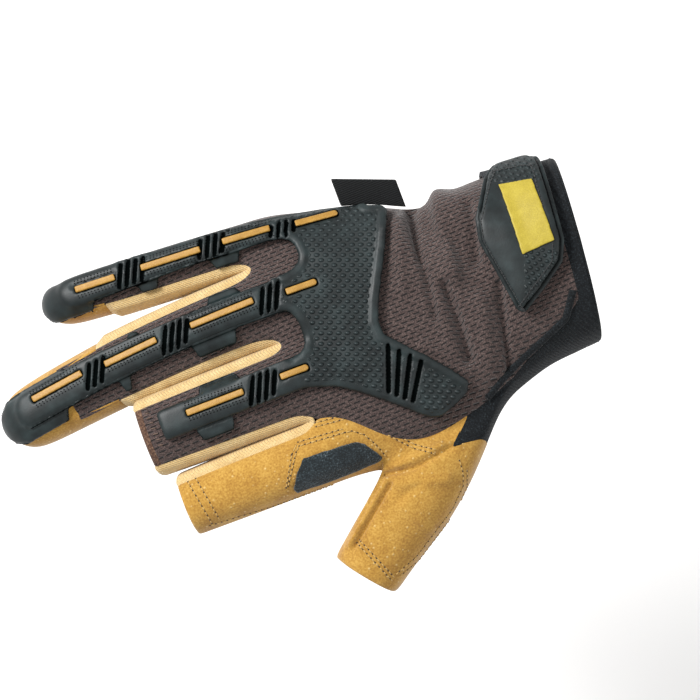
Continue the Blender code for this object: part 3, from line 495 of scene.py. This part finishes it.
suede_tan = split_cowhide()
leather_palm = panel("palm_leather", "leather_palm", suede_tan)
leather_index = panel("index_thumb_leather", "leather_index_thumb", suede_tan,
                      levels=3, shape=lambda bm: press_folds(bm, THUMB_FOLDS))


# The side at the thumb's root and the cuff at the mouth: black knit that stretches, plain and fuzzy.
def stretch_knit(name, rib):
    """Elastic knit: matt black with bluish flecks of painted sheen, in fine ribs that run round the wrist."""
    made = start_material(name, "#1c2022", 0.9, 0.08)
    place = in_mm(made)
    fuzz = noise(made, place, 0.5, 3.0)
    ribs = calc(made, "SINE", calc(made, "MULTIPLY", along(made, place, (0.9, 0.3, 0.3)), 6.283 / rib))
    # painted sheen: the palest, bluish stop of the fuzz stands in for sheen on the knit
    colour = ramp(made, fuzz, (0.35, "#0c0e10"), (0.55, "#15191c"), (0.75, "#30373b"))
    height = calc(made, "ADD", calc(made, "MULTIPLY", ribs, 0.35), fuzz)
    return dress(made, colour, height, 0.0003)


knit_black = stretch_knit("black_stretch_knit", 1.1)
side_stretch = panel("stretch_panel", "side_stretch", knit_black)
cuff_knit = panel("cuff_band", "cuff_knit", stretch_knit("black_brushed_cuff", 1.7))


# The strips between the fingers: pale tricot cut as long tongues, that stand up as soft rolls beside the
# fingers, with a dark valley between the two rolls of a pair.
STRIP_PUFF = 0.0016
STRIP_RISE = 0.0020


def puff(bm):
    """Fills a strip into a roll that falls away to its seams."""
    border = border_tree(bm)
    for vert in bm.verts:
        vert.co += vert.normal * STRIP_PUFF * smooth_share(border.find(vert.co)[2] / STRIP_RISE)
    bm.normal_update()


def tricot():
    """Fine twilled nylon: creamy, slightly lustrous, the twill only just seen."""
    made = start_material("beige_tricot", "#ecd29b", 0.72, 0.35)
    place = in_mm(made)
    twill = calc(made, "SINE", calc(made, "MULTIPLY", along(made, place, (0.7, 0.7, 0.5)), 6.283 / 0.8))
    cloud = noise(made, place, 5.0)
    fine = noise(made, place, 0.5)
    mixed = calc(made, "ADD", calc(made, "MULTIPLY", cloud, 0.45), calc(made, "MULTIPLY", fine, 0.55))
    colour = ramp(made, mixed, (0.34, "#c3a067"), (0.50, "#d2b37a"), (0.66, "#ddc38f"))
    height = calc(made, "ADD", calc(made, "MULTIPLY", twill, 0.6), fine)
    return dress(made, colour, height, 0.00022)


tricot_beige = tricot()
strips = [panel(node, name, tricot_beige, shape=puff) for node, name in
          (("fourchette_middle_index", "strip_middle_index"), ("fourchette_ring_middle", "strip_ring_middle"),
           ("fourchette_pinky_ring", "strip_little_ring"))]


# The hem of the middle finger's cut end: the mesh folded under and held with dark overlock thread.
def hem_tape():
    """Folded knit: a darker, browner band with a coarse thread across it."""
    made = start_material("brown_overlocked_hem", "#5a4030", 0.85, 0.2)
    place = in_mm(made)
    thread = noise(made, place, 0.6, 3.0)
    colour = ramp(made, thread, (0.35, "#3a2820"), (0.55, "#5d4436"), (0.75, "#8a6f58"))
    return dress(made, colour, thread, 0.0003)


hem_middle = panel("middle_hem", "hem_middle", hem_tape())


# The guard on the back: one moulding of soft black rubber, its panel over the knuckles with a smooth raised
# rim round a field of scale-like pimples, its rails on the fingers with sloping sides, glued and sewn on.
GUARD_GRAIN = 0.00046
EDGE_STEP = 0.0004
LOOK_OUT = 0.0007
LOOK_FROM = 0.0005
KEEP_EDGE = 0.0007
FREE_FROM = 0.0022
FLOOR_NEAR = 0.0016
FLOOR_FAR = 0.0019
FACES_UP = (0.6, 0.8)
RIM_WIDTH = 0.0034
RIM_HEIGHT = 0.00040
RIM_ROUND = 0.0008
RIM_SLOPE = 0.0011
FIELD_DROP = 0.00025
RAIL_SLOPE = 0.0020
RAIL_FALL = 0.0008
RAILS_FROM = -0.104
RAILS_BLEND = 0.002
HOLE_STEP = 0.0006
TAIL_FROM = 0.003
TAIL_UP_TO = 0.0095
TAIL_LENGTH = 0.0022
TAIL_HALF = 0.0007
TAIL_DEPTH = 0.0011
SHALLOW = 0.00142
HOLE_REACH = 0.0012
PIMPLE_PITCH = 3.0
PIMPLE_ROW = 1.8
PIMPLES_OFF_HOLE = 0.0009
PIMPLES_FADE = 0.0004


def outer_edges(node):
    """Points round a moulding's outer face, points round the grooves and slots in it, and the face itself."""
    bm = solid_mesh(node)
    groups = smooth_groups(bm)
    top = set(max(groups, key=lambda g: sum(open_share(f) * f.calc_area() for f in g)))
    solid = BVHTree.FromBMesh(bm)
    outline = []
    holes = []
    for edge in bm.edges:
        faces = [f for f in edge.link_faces if f in top]
        if len(faces) != 1:
            continue
        first, last = edge.verts[0].co, edge.verts[1].co
        middle = (first + last) / 2
        out = middle - faces[0].calc_center_median()
        line = (last - first).normalized()
        out = (out - line * out.dot(line)).normalized()
        normal = faces[0].normal
        below = solid.ray_cast(middle + out * LOOK_OUT + normal * LOOK_FROM, -normal, LOOK_FROM + SHALLOW)[0]
        steps = max(1, int(edge.calc_length() / EDGE_STEP))
        for step in range(steps + 1):
            (outline if below is None else holes).append(first.lerp(last, step / steps))
    bmesh.ops.delete(bm, geom=[f for f in bm.faces if f not in top], context="FACES")
    face = BVHTree.FromBMesh(bm)
    bm.free()
    return outline, holes, face


def how_far(places, spots):
    if not spots:
        return np.full(len(places), 1.0)
    tree = KDTree(len(spots))
    for number, spot in enumerate(spots):
        tree.insert(spot, number)
    tree.balance()
    return np.array([tree.find(place)[2] for place in places])


def read_places(mesh, what="co"):
    values = np.empty(len(mesh.vertices) * 3)
    (mesh.vertices if what == "co" else mesh.vertex_normals).foreach_get(
        "co" if what == "co" else "vector", values)
    return values.reshape(-1, 3)


def relax(mesh, weights, passes):
    """Draws each point towards the mean of its neighbours, by its weight."""
    places = read_places(mesh)
    ends = np.empty(len(mesh.edges) * 2, dtype=np.int64)
    mesh.edges.foreach_get("vertices", ends)
    first, last = ends.reshape(-1, 2).T
    count = len(places)
    near = np.bincount(first, minlength=count) + np.bincount(last, minlength=count)
    near = np.maximum(near, 1)[:, None]
    for _ in range(passes):
        total = np.stack([np.bincount(first, places[last, axis], count)
                          + np.bincount(last, places[first, axis], count) for axis in range(3)], axis=1)
        places += (total / near - places) * weights[:, None]
    mesh.vertices.foreach_set("co", places.ravel())
    mesh.update()


def share_between(values, low, high):
    return np.clip((values - low) / (high - low), 0.0, 1.0)


def hole_groups(spots):
    """The points round the holes in one group for each hole."""
    tree = KDTree(len(spots))
    for number, spot in enumerate(spots):
        tree.insert(spot, number)
    tree.balance()
    left = set(range(len(spots)))
    groups = []
    while left:
        group = [left.pop()]
        for number in group:
            near = {other for _, other, _ in tree.find_range(spots[number], HOLE_STEP)} & left
            left -= near
            group += near
        groups.append(np.array([spots[number] for number in group]))
    return groups


def groove_tails(places, holes):
    """How far each point lies in the pointed tails that run on from both ends of the cross grooves."""
    cut = np.zeros(len(places))
    if not holes:
        return cut
    for group in hole_groups(holes):
        middle = (group.min(axis=0) + group.max(axis=0)) / 2
        way = np.linalg.svd(group - group.mean(axis=0), full_matrices=False)[2][0]
        reach = (group - middle) @ way
        if abs(way[0]) > abs(way[1]) or not TAIL_FROM < np.ptp(reach) < TAIL_UP_TO:
            continue
        near = np.linalg.norm(places - middle, axis=1) < np.ptp(reach) / 2 + TAIL_LENGTH + 0.001
        off = places[near] - middle
        forward = off @ way
        aside = np.linalg.norm(off[:, :2] - forward[:, None] * way[:2], axis=1)
        past = share_between(np.abs(forward), np.ptp(reach) / 2 - 0.0004, np.ptp(reach) / 2 + TAIL_LENGTH)
        half = TAIL_HALF * (1 - past)
        inside = share_between(half - aside, -0.0001, 0.0003)
        cut[near] = np.maximum(cut[near], inside * (past > 0) * (past < 1))
    return cut


def moulded(node, name, finish, grain, relief=None, passes=60, soften=4):
    """A solid in small even faces: its facets smoothed, its edges softened, its low relief pressed in.

    Its attributes say where the pimples are, where a groove or slot is deep, and where light gets in."""
    outline, holes, top = outer_edges(node)
    item = settle(solid_mesh(node), name)
    even = item.modifiers.new("even", "REMESH")
    even.mode = "VOXEL"
    even.voxel_size = grain
    apply_modifiers(item)
    mesh = item.data
    places = read_places(mesh)
    from_outline = how_far(places, outline)
    from_hole = how_far(places, holes)
    on_top = np.array([(top.find_nearest(place)[3] or 0.0) < grain for place in places], dtype=float)
    relax(mesh, np.where(from_hole < HOLE_REACH, 0.2, 0.5), soften)
    free = share_between(np.minimum(from_outline, from_hole), KEEP_EDGE, FREE_FROM) * on_top
    relax(mesh, free * 0.5, passes)
    field = dark = np.zeros(len(places))
    cut = groove_tails(read_places(mesh), holes) * on_top
    if relief:
        lift, field, dark = relief(read_places(mesh), from_outline, from_hole)
        lift = lift * on_top * (1 - cut) - TAIL_DEPTH * cut
        normals = read_places(mesh, "normal")
        mesh.vertices.foreach_set("co", (read_places(mesh) + normals * lift[:, None]).ravel())
        mesh.update()
    relax(mesh, np.full(len(places), 0.3), 1)
    # deep marks groove and slot walls, groove tails and the tab's sewing groove, painted near-black as shade
    below = (1.0 - on_top) * share_between(-from_hole, -FLOOR_FAR, -FLOOR_NEAR)
    lit = np.maximum(on_top, share_between(read_places(mesh, "normal")[:, 2], *FACES_UP))
    below = np.maximum(np.maximum(below, share_between(cut, 0.3, 0.7)), dark * on_top)
    for mark_name, values in (("field", field * on_top), ("deep", below), ("open", lit * (1 - below))):
        mark = mesh.attributes.new(mark_name, "FLOAT", "POINT")
        mark.data.foreach_set("value", values.astype(np.float32))
    mesh.materials.clear()
    mesh.materials.append(finish)
    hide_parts(node)
    return item


def guard_relief(places, from_outline, from_hole):
    """The panel's rim and sunk field and the rails' sloping sides, and where the pimples are."""
    on_panel = share_between(places[:, 0], RAILS_FROM - RAILS_BLEND, RAILS_FROM + RAILS_BLEND)
    rim = share_between(from_outline, 0.0, RIM_ROUND)
    rim = rim * share_between(-from_outline, -RIM_WIDTH, -RIM_WIDTH + RIM_SLOPE)
    floor_share = share_between(from_outline, RIM_WIDTH - RIM_ROUND, RIM_WIDTH)
    panel_lift = RIM_HEIGHT * rim - FIELD_DROP * floor_share
    rail_lift = -RAIL_FALL * share_between(-from_outline, -RAIL_SLOPE, 0.0)
    lift = panel_lift * on_panel + rail_lift * (1 - on_panel)
    field = on_panel * share_between(from_outline, RIM_WIDTH, RIM_WIDTH + PIMPLES_FADE)
    field = field * share_between(from_hole, PIMPLES_OFF_HOLE, PIMPLES_OFF_HOLE + PIMPLES_FADE)
    return lift, field, np.zeros(len(places))


def soft_rubber(name, turn, pitch, row):
    """Moulded rubber: slate black, dull bloom, painted light on pimples, painted shade in grooves."""
    made = start_material(name, "#272f31", 0.42)
    place = in_mm(made)
    length = along(made, place, (cos(turn), sin(turn), 0.0))
    rows = along(made, place, (-sin(turn), cos(turn), 0.0))
    cell, line = brick_cells(made, length, rows, pitch, row)
    far = calc(made, "SQRT", calc(made, "ADD", calc(made, "POWER", calc(made, "DIVIDE", cell, 0.36), 2.0),
                                  calc(made, "POWER", calc(made, "DIVIDE", line, 0.42), 2.0)))
    dome = calc(made, "MAXIMUM", calc(made, "SUBTRACT", 1.0, calc(made, "POWER", far, 2.0)), 0.0)
    field = put(made, "ShaderNodeAttribute", {"attribute_name": "field"}).outputs["Fac"]
    bumps = calc(made, "MULTIPLY", dome, field)
    bloom = noise(made, place, 6.0, 3.0)
    grain = noise(made, place, 0.5, 2.0)
    ground = ramp(made, bloom, (0.35, "#111819"), (0.55, "#1a2324"), (0.75, "#263132"))
    # painted light and shade: the pimples' domes are painted paler than the ground between them
    pale = mingle(made, calc(made, "MULTIPLY", bumps, 0.45), ground, "#2f3b3d")
    deep = put(made, "ShaderNodeAttribute", {"attribute_name": "deep"}).outputs["Fac"]
    # painted shade: what is marked deep, in the grooves and slots, is painted near-black
    colour = mingle(made, calc(made, "MULTIPLY", deep, 0.95), pale, "#020303")
    height = calc(made, "ADD", bumps, calc(made, "MULTIPLY", grain, 0.04))
    rough = calc(made, "ADD", calc(made, "MULTIPLY", bloom, 0.15), 0.42)
    free = put(made, "ShaderNodeAttribute", {"attribute_name": "open"}).outputs["Fac"]
    shine = calc(made, "MULTIPLY", free, 0.38)
    made.node_tree.links.new(shine, made.node_tree.nodes["Principled BSDF"].inputs["Specular IOR Level"])
    return dress(made, colour, height, 0.0008, rough)


guard = moulded("knuckle_guard", "guard_moulding",
                soft_rubber("moulded_thermoplastic_rubber", VIEW_TURN, PIMPLE_PITCH, PIMPLE_ROW),
                GUARD_GRAIN, guard_relief)


# The bars let into the guard's rails and panel: strips of gold rubber poured into their slots, level-topped.
def poured_rubber(name, hex_low, hex_mid, hex_high):
    """Coloured rubber: satin, even in colour, with faint clouds and dust."""
    made = start_material(name, hex_mid, 0.5)
    place = in_mm(made)
    cloud = noise(made, place, 3.0, 3.0)
    fine = noise(made, place, 0.4)
    mixed = calc(made, "ADD", calc(made, "MULTIPLY", cloud, 0.4), calc(made, "MULTIPLY", fine, 0.6))
    return dress(made, ramp(made, mixed, (0.30, hex_low), (0.50, hex_mid), (0.70, hex_high)), fine, 0.00008)


bar_gold = poured_rubber("gold_bar_rubber", "#8e6621", "#a2782e", "#b2893c")
ROUND_ENDED = (4, 8, 10)


def bar_line(node):
    """The middle of a bar, its direction towards the wrist, half its length and half its width."""
    places = np.array([v.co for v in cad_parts[node].data.vertices])
    middle = (places.min(axis=0) + places.max(axis=0)) / 2
    spread = places - places.mean(axis=0)
    way = np.linalg.svd(spread[:, :2], full_matrices=False)[2][0]
    way = way * np.sign(way[0])
    reach = spread[:, :2] @ way
    width = spread[:, :2] @ np.array((-way[1], way[0]))
    return middle, way, (reach.max() - reach.min()) / 2, (width.max() - width.min()) / 2


def round_end(mesh, node):
    """Draws the end at the wrist's side of a bar in to a half circle."""
    middle, way, half, wide = bar_line(node)
    side = np.array((-way[1], way[0]))
    places = read_places(mesh)
    off = places[:, :2] - middle[:2]
    reach = np.clip((off @ way - (half - wide)) / wide, 0.0, 0.97)
    keep = np.sqrt(1 - reach ** 2)
    places[:, :2] -= side * ((off @ side) * (1 - keep))[:, None]
    mesh.vertices.foreach_set("co", places.ravel())
    mesh.update()


for number in range(1, 11):
    bar = moulded(f"inlay_bar_{number}", f"gold_bar_{number}", bar_gold, 0.00026, passes=8)
    if number in ROUND_ENDED:
        round_end(bar.data, f"inlay_bar_{number}")


# The pits beside the bars on the rails: rows of pin-sized blind holes moulded in the rubber.
PITTED_BARS = (1, 2, 3, 5, 6, 7, 9)
PIT_ROWS = (0.0023, 0.0031)
PIT_STEP = 0.0012
PIT_SIZE = 0.00042
guard_face = BVHTree.FromPolygons([v.co for v in guard.data.vertices],
                                  [f.vertices for f in guard.data.polygons])
pits_bm = bmesh.new()
for number in PITTED_BARS:
    middle, way, half, wide = bar_line(f"inlay_bar_{number}")
    side = np.array((-way[1], way[0]))
    count = int(2 * half / PIT_STEP) + 1
    for row, step in ((off * hand, step) for off in PIT_ROWS for hand in (-1, 1) for step in range(count)):
        spot = middle[:2] + way * (step * PIT_STEP - half + abs(row) / 5) + side * row
        place, normal, _, _ = guard_face.ray_cast(Vector((*spot, cad_high.z + 0.01)), Vector((0, 0, -1)))
        if place is None:
            continue
        size = Matrix.Diagonal((PIT_SIZE, PIT_SIZE * 0.8, PIT_SIZE * 0.3, 1))
        turned = normal.to_track_quat("Z", "X").to_matrix().to_4x4()
        bmesh.ops.create_icosphere(pits_bm, subdivisions=1, radius=0.8,
                                   matrix=Matrix.Translation(place) @ turned @ size)
pits = settle(pits_bm, "guard_pits")
pits.data.materials.append(start_material("pit_shadow", "#050607", 0.9))


# The strap's tab: a rubber moulding with a smooth rim and a sewing groove round it, a smooth slope on the side
# of the fingers and pimples at its top and lower right. Its gold plate is left plain.
TAB_GROOVE = 0.0021
TAB_GROOVE_HALF = 0.0007
TAB_GROOVE_DEPTH = 0.0010
TAB_RIM_WIDTH = 0.0017
TAB_RIM_HEIGHT = 0.0006
TAB_FIELD_FROM = 0.0027
TAB_FIELD_RISE = 0.0003
TAB_PIMPLES_ABOVE = 182
TAB_PIMPLES_BELOW = 253
TAB_PIMPLES_RIGHT = 524
BLEND_PIXELS = 3


def tab_relief(places, from_outline, from_hole):
    """The tab's rim, sewing groove and raised middle, and where its pimples are, by the frame's pixels."""
    spots = [frame_place(Vector(place)) for place in places]
    across = np.array([spot[0] for spot in spots])
    down = np.array([spot[1] for spot in spots])
    rim = share_between(from_outline, 0.0, 0.0006)
    rim = rim * share_between(-from_outline, -TAB_RIM_WIDTH, -TAB_RIM_WIDTH + 0.0005)
    groove = share_between(-np.abs(from_outline - TAB_GROOVE), -TAB_GROOVE_HALF, -TAB_GROOVE_HALF + 0.0004)
    lift = TAB_RIM_HEIGHT * rim - TAB_GROOVE_DEPTH * groove
    lift = lift + TAB_FIELD_RISE * share_between(from_outline, 0.0026, 0.0036)
    inner = share_between(from_outline, TAB_FIELD_FROM, TAB_FIELD_FROM + PIMPLES_FADE)
    upper = share_between(-down, -TAB_PIMPLES_ABOVE - BLEND_PIXELS, -TAB_PIMPLES_ABOVE)
    lower = share_between(across, TAB_PIMPLES_RIGHT - BLEND_PIXELS, TAB_PIMPLES_RIGHT)
    lower = lower * share_between(down, TAB_PIMPLES_BELOW - BLEND_PIXELS, TAB_PIMPLES_BELOW)
    # the sewing groove is also handed back as the mask that the rubber paints near-black as shade
    return lift, inner * np.maximum(upper, lower), groove


tab = moulded("strap_tab", "tab_moulding",
              soft_rubber("moulded_tab_rubber", radians(-36), 2.4, 1.7), 0.0004, tab_relief)
plate = moulded("tab_plate", "tab_plate_plain",
                poured_rubber("yellow_plate_rubber", "#9c8a24", "#ab982b", "#b8a638"), 0.0003, passes=40)


# The patch over the saddle of the thumb: flocked rubber cloth, bound by the stitches round it.
def flocked_cloth():
    """Short black flock: it drinks the light, with a grey sparkle where the pile lies over."""
    made = start_material("black_flocked_suede", "#2b3539", 0.95, 0.35)
    place = in_mm(made)
    pile = noise(made, place, 0.55, 3.0)
    cloud = noise(made, place, 5.0)
    mixed = calc(made, "ADD", calc(made, "MULTIPLY", pile, 0.75), calc(made, "MULTIPLY", cloud, 0.25))
    colour = ramp(made, mixed, (0.38, "#12181a"), (0.52, "#1d262a"), (0.64, "#3b464b"), (0.74, "#7a8488"))
    return dress(made, colour, pile, 0.0004)


patch = moulded("saddle_patch", "patch_flocked", flocked_cloth(), 0.0004, passes=30, soften=14)


# The strap round the wrist: black hook-and-loop webbing that passes under the tab, fastened.
def looped_web():
    """Woven tape: near black, slightly blue, in a fine diagonal weave with brushed loops."""
    made = start_material("black_hook_and_loop_web", "#20252c", 0.9, 0.08)
    place = in_mm(made)
    one = calc(made, "SINE", calc(made, "MULTIPLY", along(made, place, (0.8, 0.6, 0.4)), 6.283 / 1.1))
    two = calc(made, "SINE", calc(made, "MULTIPLY", along(made, place, (0.8, -0.6, -0.4)), 6.283 / 1.1))
    loops = noise(made, place, 0.5, 3.0)
    weave = calc(made, "MAXIMUM", one, two)
    colour = ramp(made, loops, (0.35, "#0c0f12"), (0.55, "#171b20"), (0.75, "#343b44"))
    height = calc(made, "ADD", calc(made, "MULTIPLY", weave, 0.4), loops)
    return dress(made, colour, height, 0.0003)


strap = moulded("wrist_strap", "strap_web", looped_web(), 0.0005, passes=40)


# The label in the side seam: a woven black ribbon folded double, its face left plain.
def woven_ribbon():
    """Dense satin ribbon: black with a low shine and a hair-fine weave."""
    made = start_material("woven_label_cloth", "#17191b", 0.7, 0.05)
    place = in_mm(made)
    weft = calc(made, "SINE", calc(made, "MULTIPLY", along(made, place, (0.0, 1.0, 0.0)), 6.283 / 0.7))
    fine = noise(made, place, 0.4)
    height = calc(made, "ADD", calc(made, "MULTIPLY", weft, 0.5), fine)
    return dress(made, ramp(made, fine, (0.35, "#08090a"), (0.6, "#0f1112"), (0.8, "#202325")), height, 0.0001)


label = moulded("side_label", "label_plain", woven_ribbon(), 0.00035, passes=20)


# The stitching: tan thread in double rows on the leather, its loops sunk between dark needle holes, dark
# thread over the hem and round the tab. Each row is given by its course in the frame and lies on the piece.
STITCH_PITCH = 0.0018
THREAD = 0.00042
ACROSS_HALF = 0.0011


def seen_surface(items):
    whole = bmesh.new()
    for item in items:
        whole.from_mesh(item.data)
    tree = BVHTree.FromBMesh(whole)
    whole.free()
    return tree


def course(points, offset, surface):
    """Even steps along a line in the frame, moved sideways by an offset, as points and normals on the piece."""
    spots = []
    for (x1, y1), (x2, y2) in zip(points, points[1:]):
        length = hypot(x2 - x1, y2 - y1)
        side = (-(y2 - y1) / length * offset, (x2 - x1) / length * offset)
        for step in range(int(length)):
            spots.append((x1 + (x2 - x1) * step / length + side[0], y1 + (y2 - y1) * step / length + side[1]))
    laid = []
    for across, down in spots:
        way = (view_spot(across, down) - camera.location).normalized()
        place, normal, _, _ = surface.ray_cast(camera.location, way)
        if place is not None and (not laid or (place - laid[-1][0]).length > STITCH_PITCH):
            laid.append((place, normal))
    return laid


def stitch(bm, start, end, width, thick, number):
    """One loop of thread or one needle hole: a small rounded lozenge from one point to another."""
    line = end - start
    turn = line.to_track_quat("X", "Z").to_matrix().to_4x4()
    size = Matrix.Diagonal((line.length / 2, width / 2, thick / 2, 1))
    made = bmesh.ops.create_uvsphere(bm, u_segments=6, v_segments=4, radius=1.0,
                                     matrix=Matrix.Translation((start + end) / 2) @ turn @ size)
    for face in {f for v in made["verts"] for f in v.link_faces}:
        face.material_index = number
        face.smooth = True


def sew(name, rows, surface, thread_finish, hole_finish, across=False):
    """Rows of stitches as one piece: loops along each row between needle holes, or slanting across it."""
    bm = bmesh.new()
    for points, offset in rows:
        laid = course(points, offset, surface)
        for (place, normal), (ahead, _) in zip(laid, laid[1:]):
            step = ahead - place
            if step.length > 3 * STITCH_PITCH:
                continue
            if across:
                side = normal.cross(step).normalized() * ACROSS_HALF
                lift = normal * THREAD * 0.5
                stitch(bm, place - side + lift, place + side + step * 0.25 + lift, THREAD, THREAD * 0.8, 0)
                continue
            lift = normal * THREAD * 0.40
            stitch(bm, place + step * 0.18 + lift, place + step * 0.82 + lift, THREAD * 1.15, THREAD * 0.9, 0)
            stitch(bm, place - step * 0.17, place + step * 0.17, THREAD * 1.6, THREAD * 0.9, 1)
    item = settle(bm, name)
    item.data.materials.append(thread_finish)
    item.data.materials.append(hole_finish)
    return item


def thread_cord(name, hex_colour):
    """Twisted polyester thread: a slight shine on a plain colour, its twist only a hint."""
    made = start_material(name, hex_colour, 0.6, 0.2)
    place = in_mm(made)
    twist = calc(made, "SINE", calc(made, "MULTIPLY", along(made, place, (1.0, 0.8, 0.3)), 6.283 / 0.35))
    return dress(made, height=twist, relief=0.00005)


LEATHER_ROWS = [(((314, 418), (348, 409), (360, 411), (417, 440), (441, 446)), 5),
                (((314, 418), (348, 409), (360, 411), (417, 440), (441, 446)), 9),
                (((291, 487), (300, 449), (340, 437), (351, 434), (362, 437), (374, 447), (386, 461)), -3),
                (((293, 489), (300, 449), (340, 437), (351, 434)), -7),
                (((181, 480), (210, 530)), -5), (((184, 476), (213, 526)), -9),
                (((212, 532), (278, 512), (340, 489)), -7),
                (((353, 546), (391, 587)), -5), (((353, 546), (391, 587)), -9),
                (((472, 471), (472, 488), (460, 514), (422, 564), (398, 584)), 5),
                (((468, 458), (472, 471), (472, 488), (460, 514), (422, 564), (398, 584)), 9)]
leather_surface = seen_surface([leather_palm, leather_index])
thread_tan = thread_cord("tan_thread", "#cca65c")
hole_dark = thread_cord("needle_hole_shadow", "#37230b")
sew("leather_stitching", LEATHER_ROWS, leather_surface, thread_tan, hole_dark)
thread_brown = thread_cord("brown_overlock_thread", "#6d5546")
sew("hem_overlock", [(((137, 401), (161, 456)), -4)], seen_surface([hem_middle, mesh_back]),
    thread_brown, hole_dark, across=True)
thread_black = thread_cord("black_thread", "#0f1214")
TAB_COURSE = ((491, 166), (523, 159), (534, 160), (538, 166), (559, 243), (558, 263), (520, 315), (478, 243),
              (475, 221), (485, 180), (491, 166))
sew("tab_stitching", [(TAB_COURSE, 6)], seen_surface([tab]), thread_black, thread_black)


# The binding between the mesh and the cuff on the thumb's side: a fuzzy black tape rolled over the edge.
BINDING_COURSE = ((573, 290), (566, 318), (545, 338), (519, 362), (502, 380), (486, 400))
BINDING_RADIUS = 0.0013
BINDING_LIFT = 0.0002
bm = bmesh.new()
laid = course(BINDING_COURSE, 0, seen_surface([mesh_back, cuff_knit, side_stretch]))
ring = bmesh.ops.create_circle(bm, cap_ends=False, segments=8, radius=BINDING_RADIUS)["verts"]
edges = list({e for v in ring for e in v.link_edges})
last = Matrix.Identity(4)
for number, (place, normal) in enumerate(laid):
    ahead = laid[min(number + 1, len(laid) - 1)][0] - laid[max(number - 1, 0)][0]
    side = normal.cross(ahead).normalized()
    up = ahead.normalized().cross(side)
    here = Matrix((side, up * 0.6, ahead.normalized())).transposed().to_4x4()
    here.translation = place + normal * BINDING_LIFT
    if number:
        made = bmesh.ops.extrude_edge_only(bm, edges=edges)
        ring = [g for g in made["geom"] if isinstance(g, bmesh.types.BMVert)]
        edges = [g for g in made["geom"] if isinstance(g, bmesh.types.BMEdge) and g.is_boundary
                 and g.verts[0] in ring and g.verts[1] in ring]
    bmesh.ops.transform(bm, verts=ring, matrix=here @ last.inverted())
    last = here
bmesh.ops.holes_fill(bm, edges=[e for e in bm.edges if e.is_boundary])
bmesh.ops.recalc_face_normals(bm, faces=bm.faces)
binding = settle(bm, "edge_binding")
binding.data.materials.append(stretch_knit("black_fuzzy_binding", 1.3))
for face in binding.data.polygons:
    face.use_smooth = True
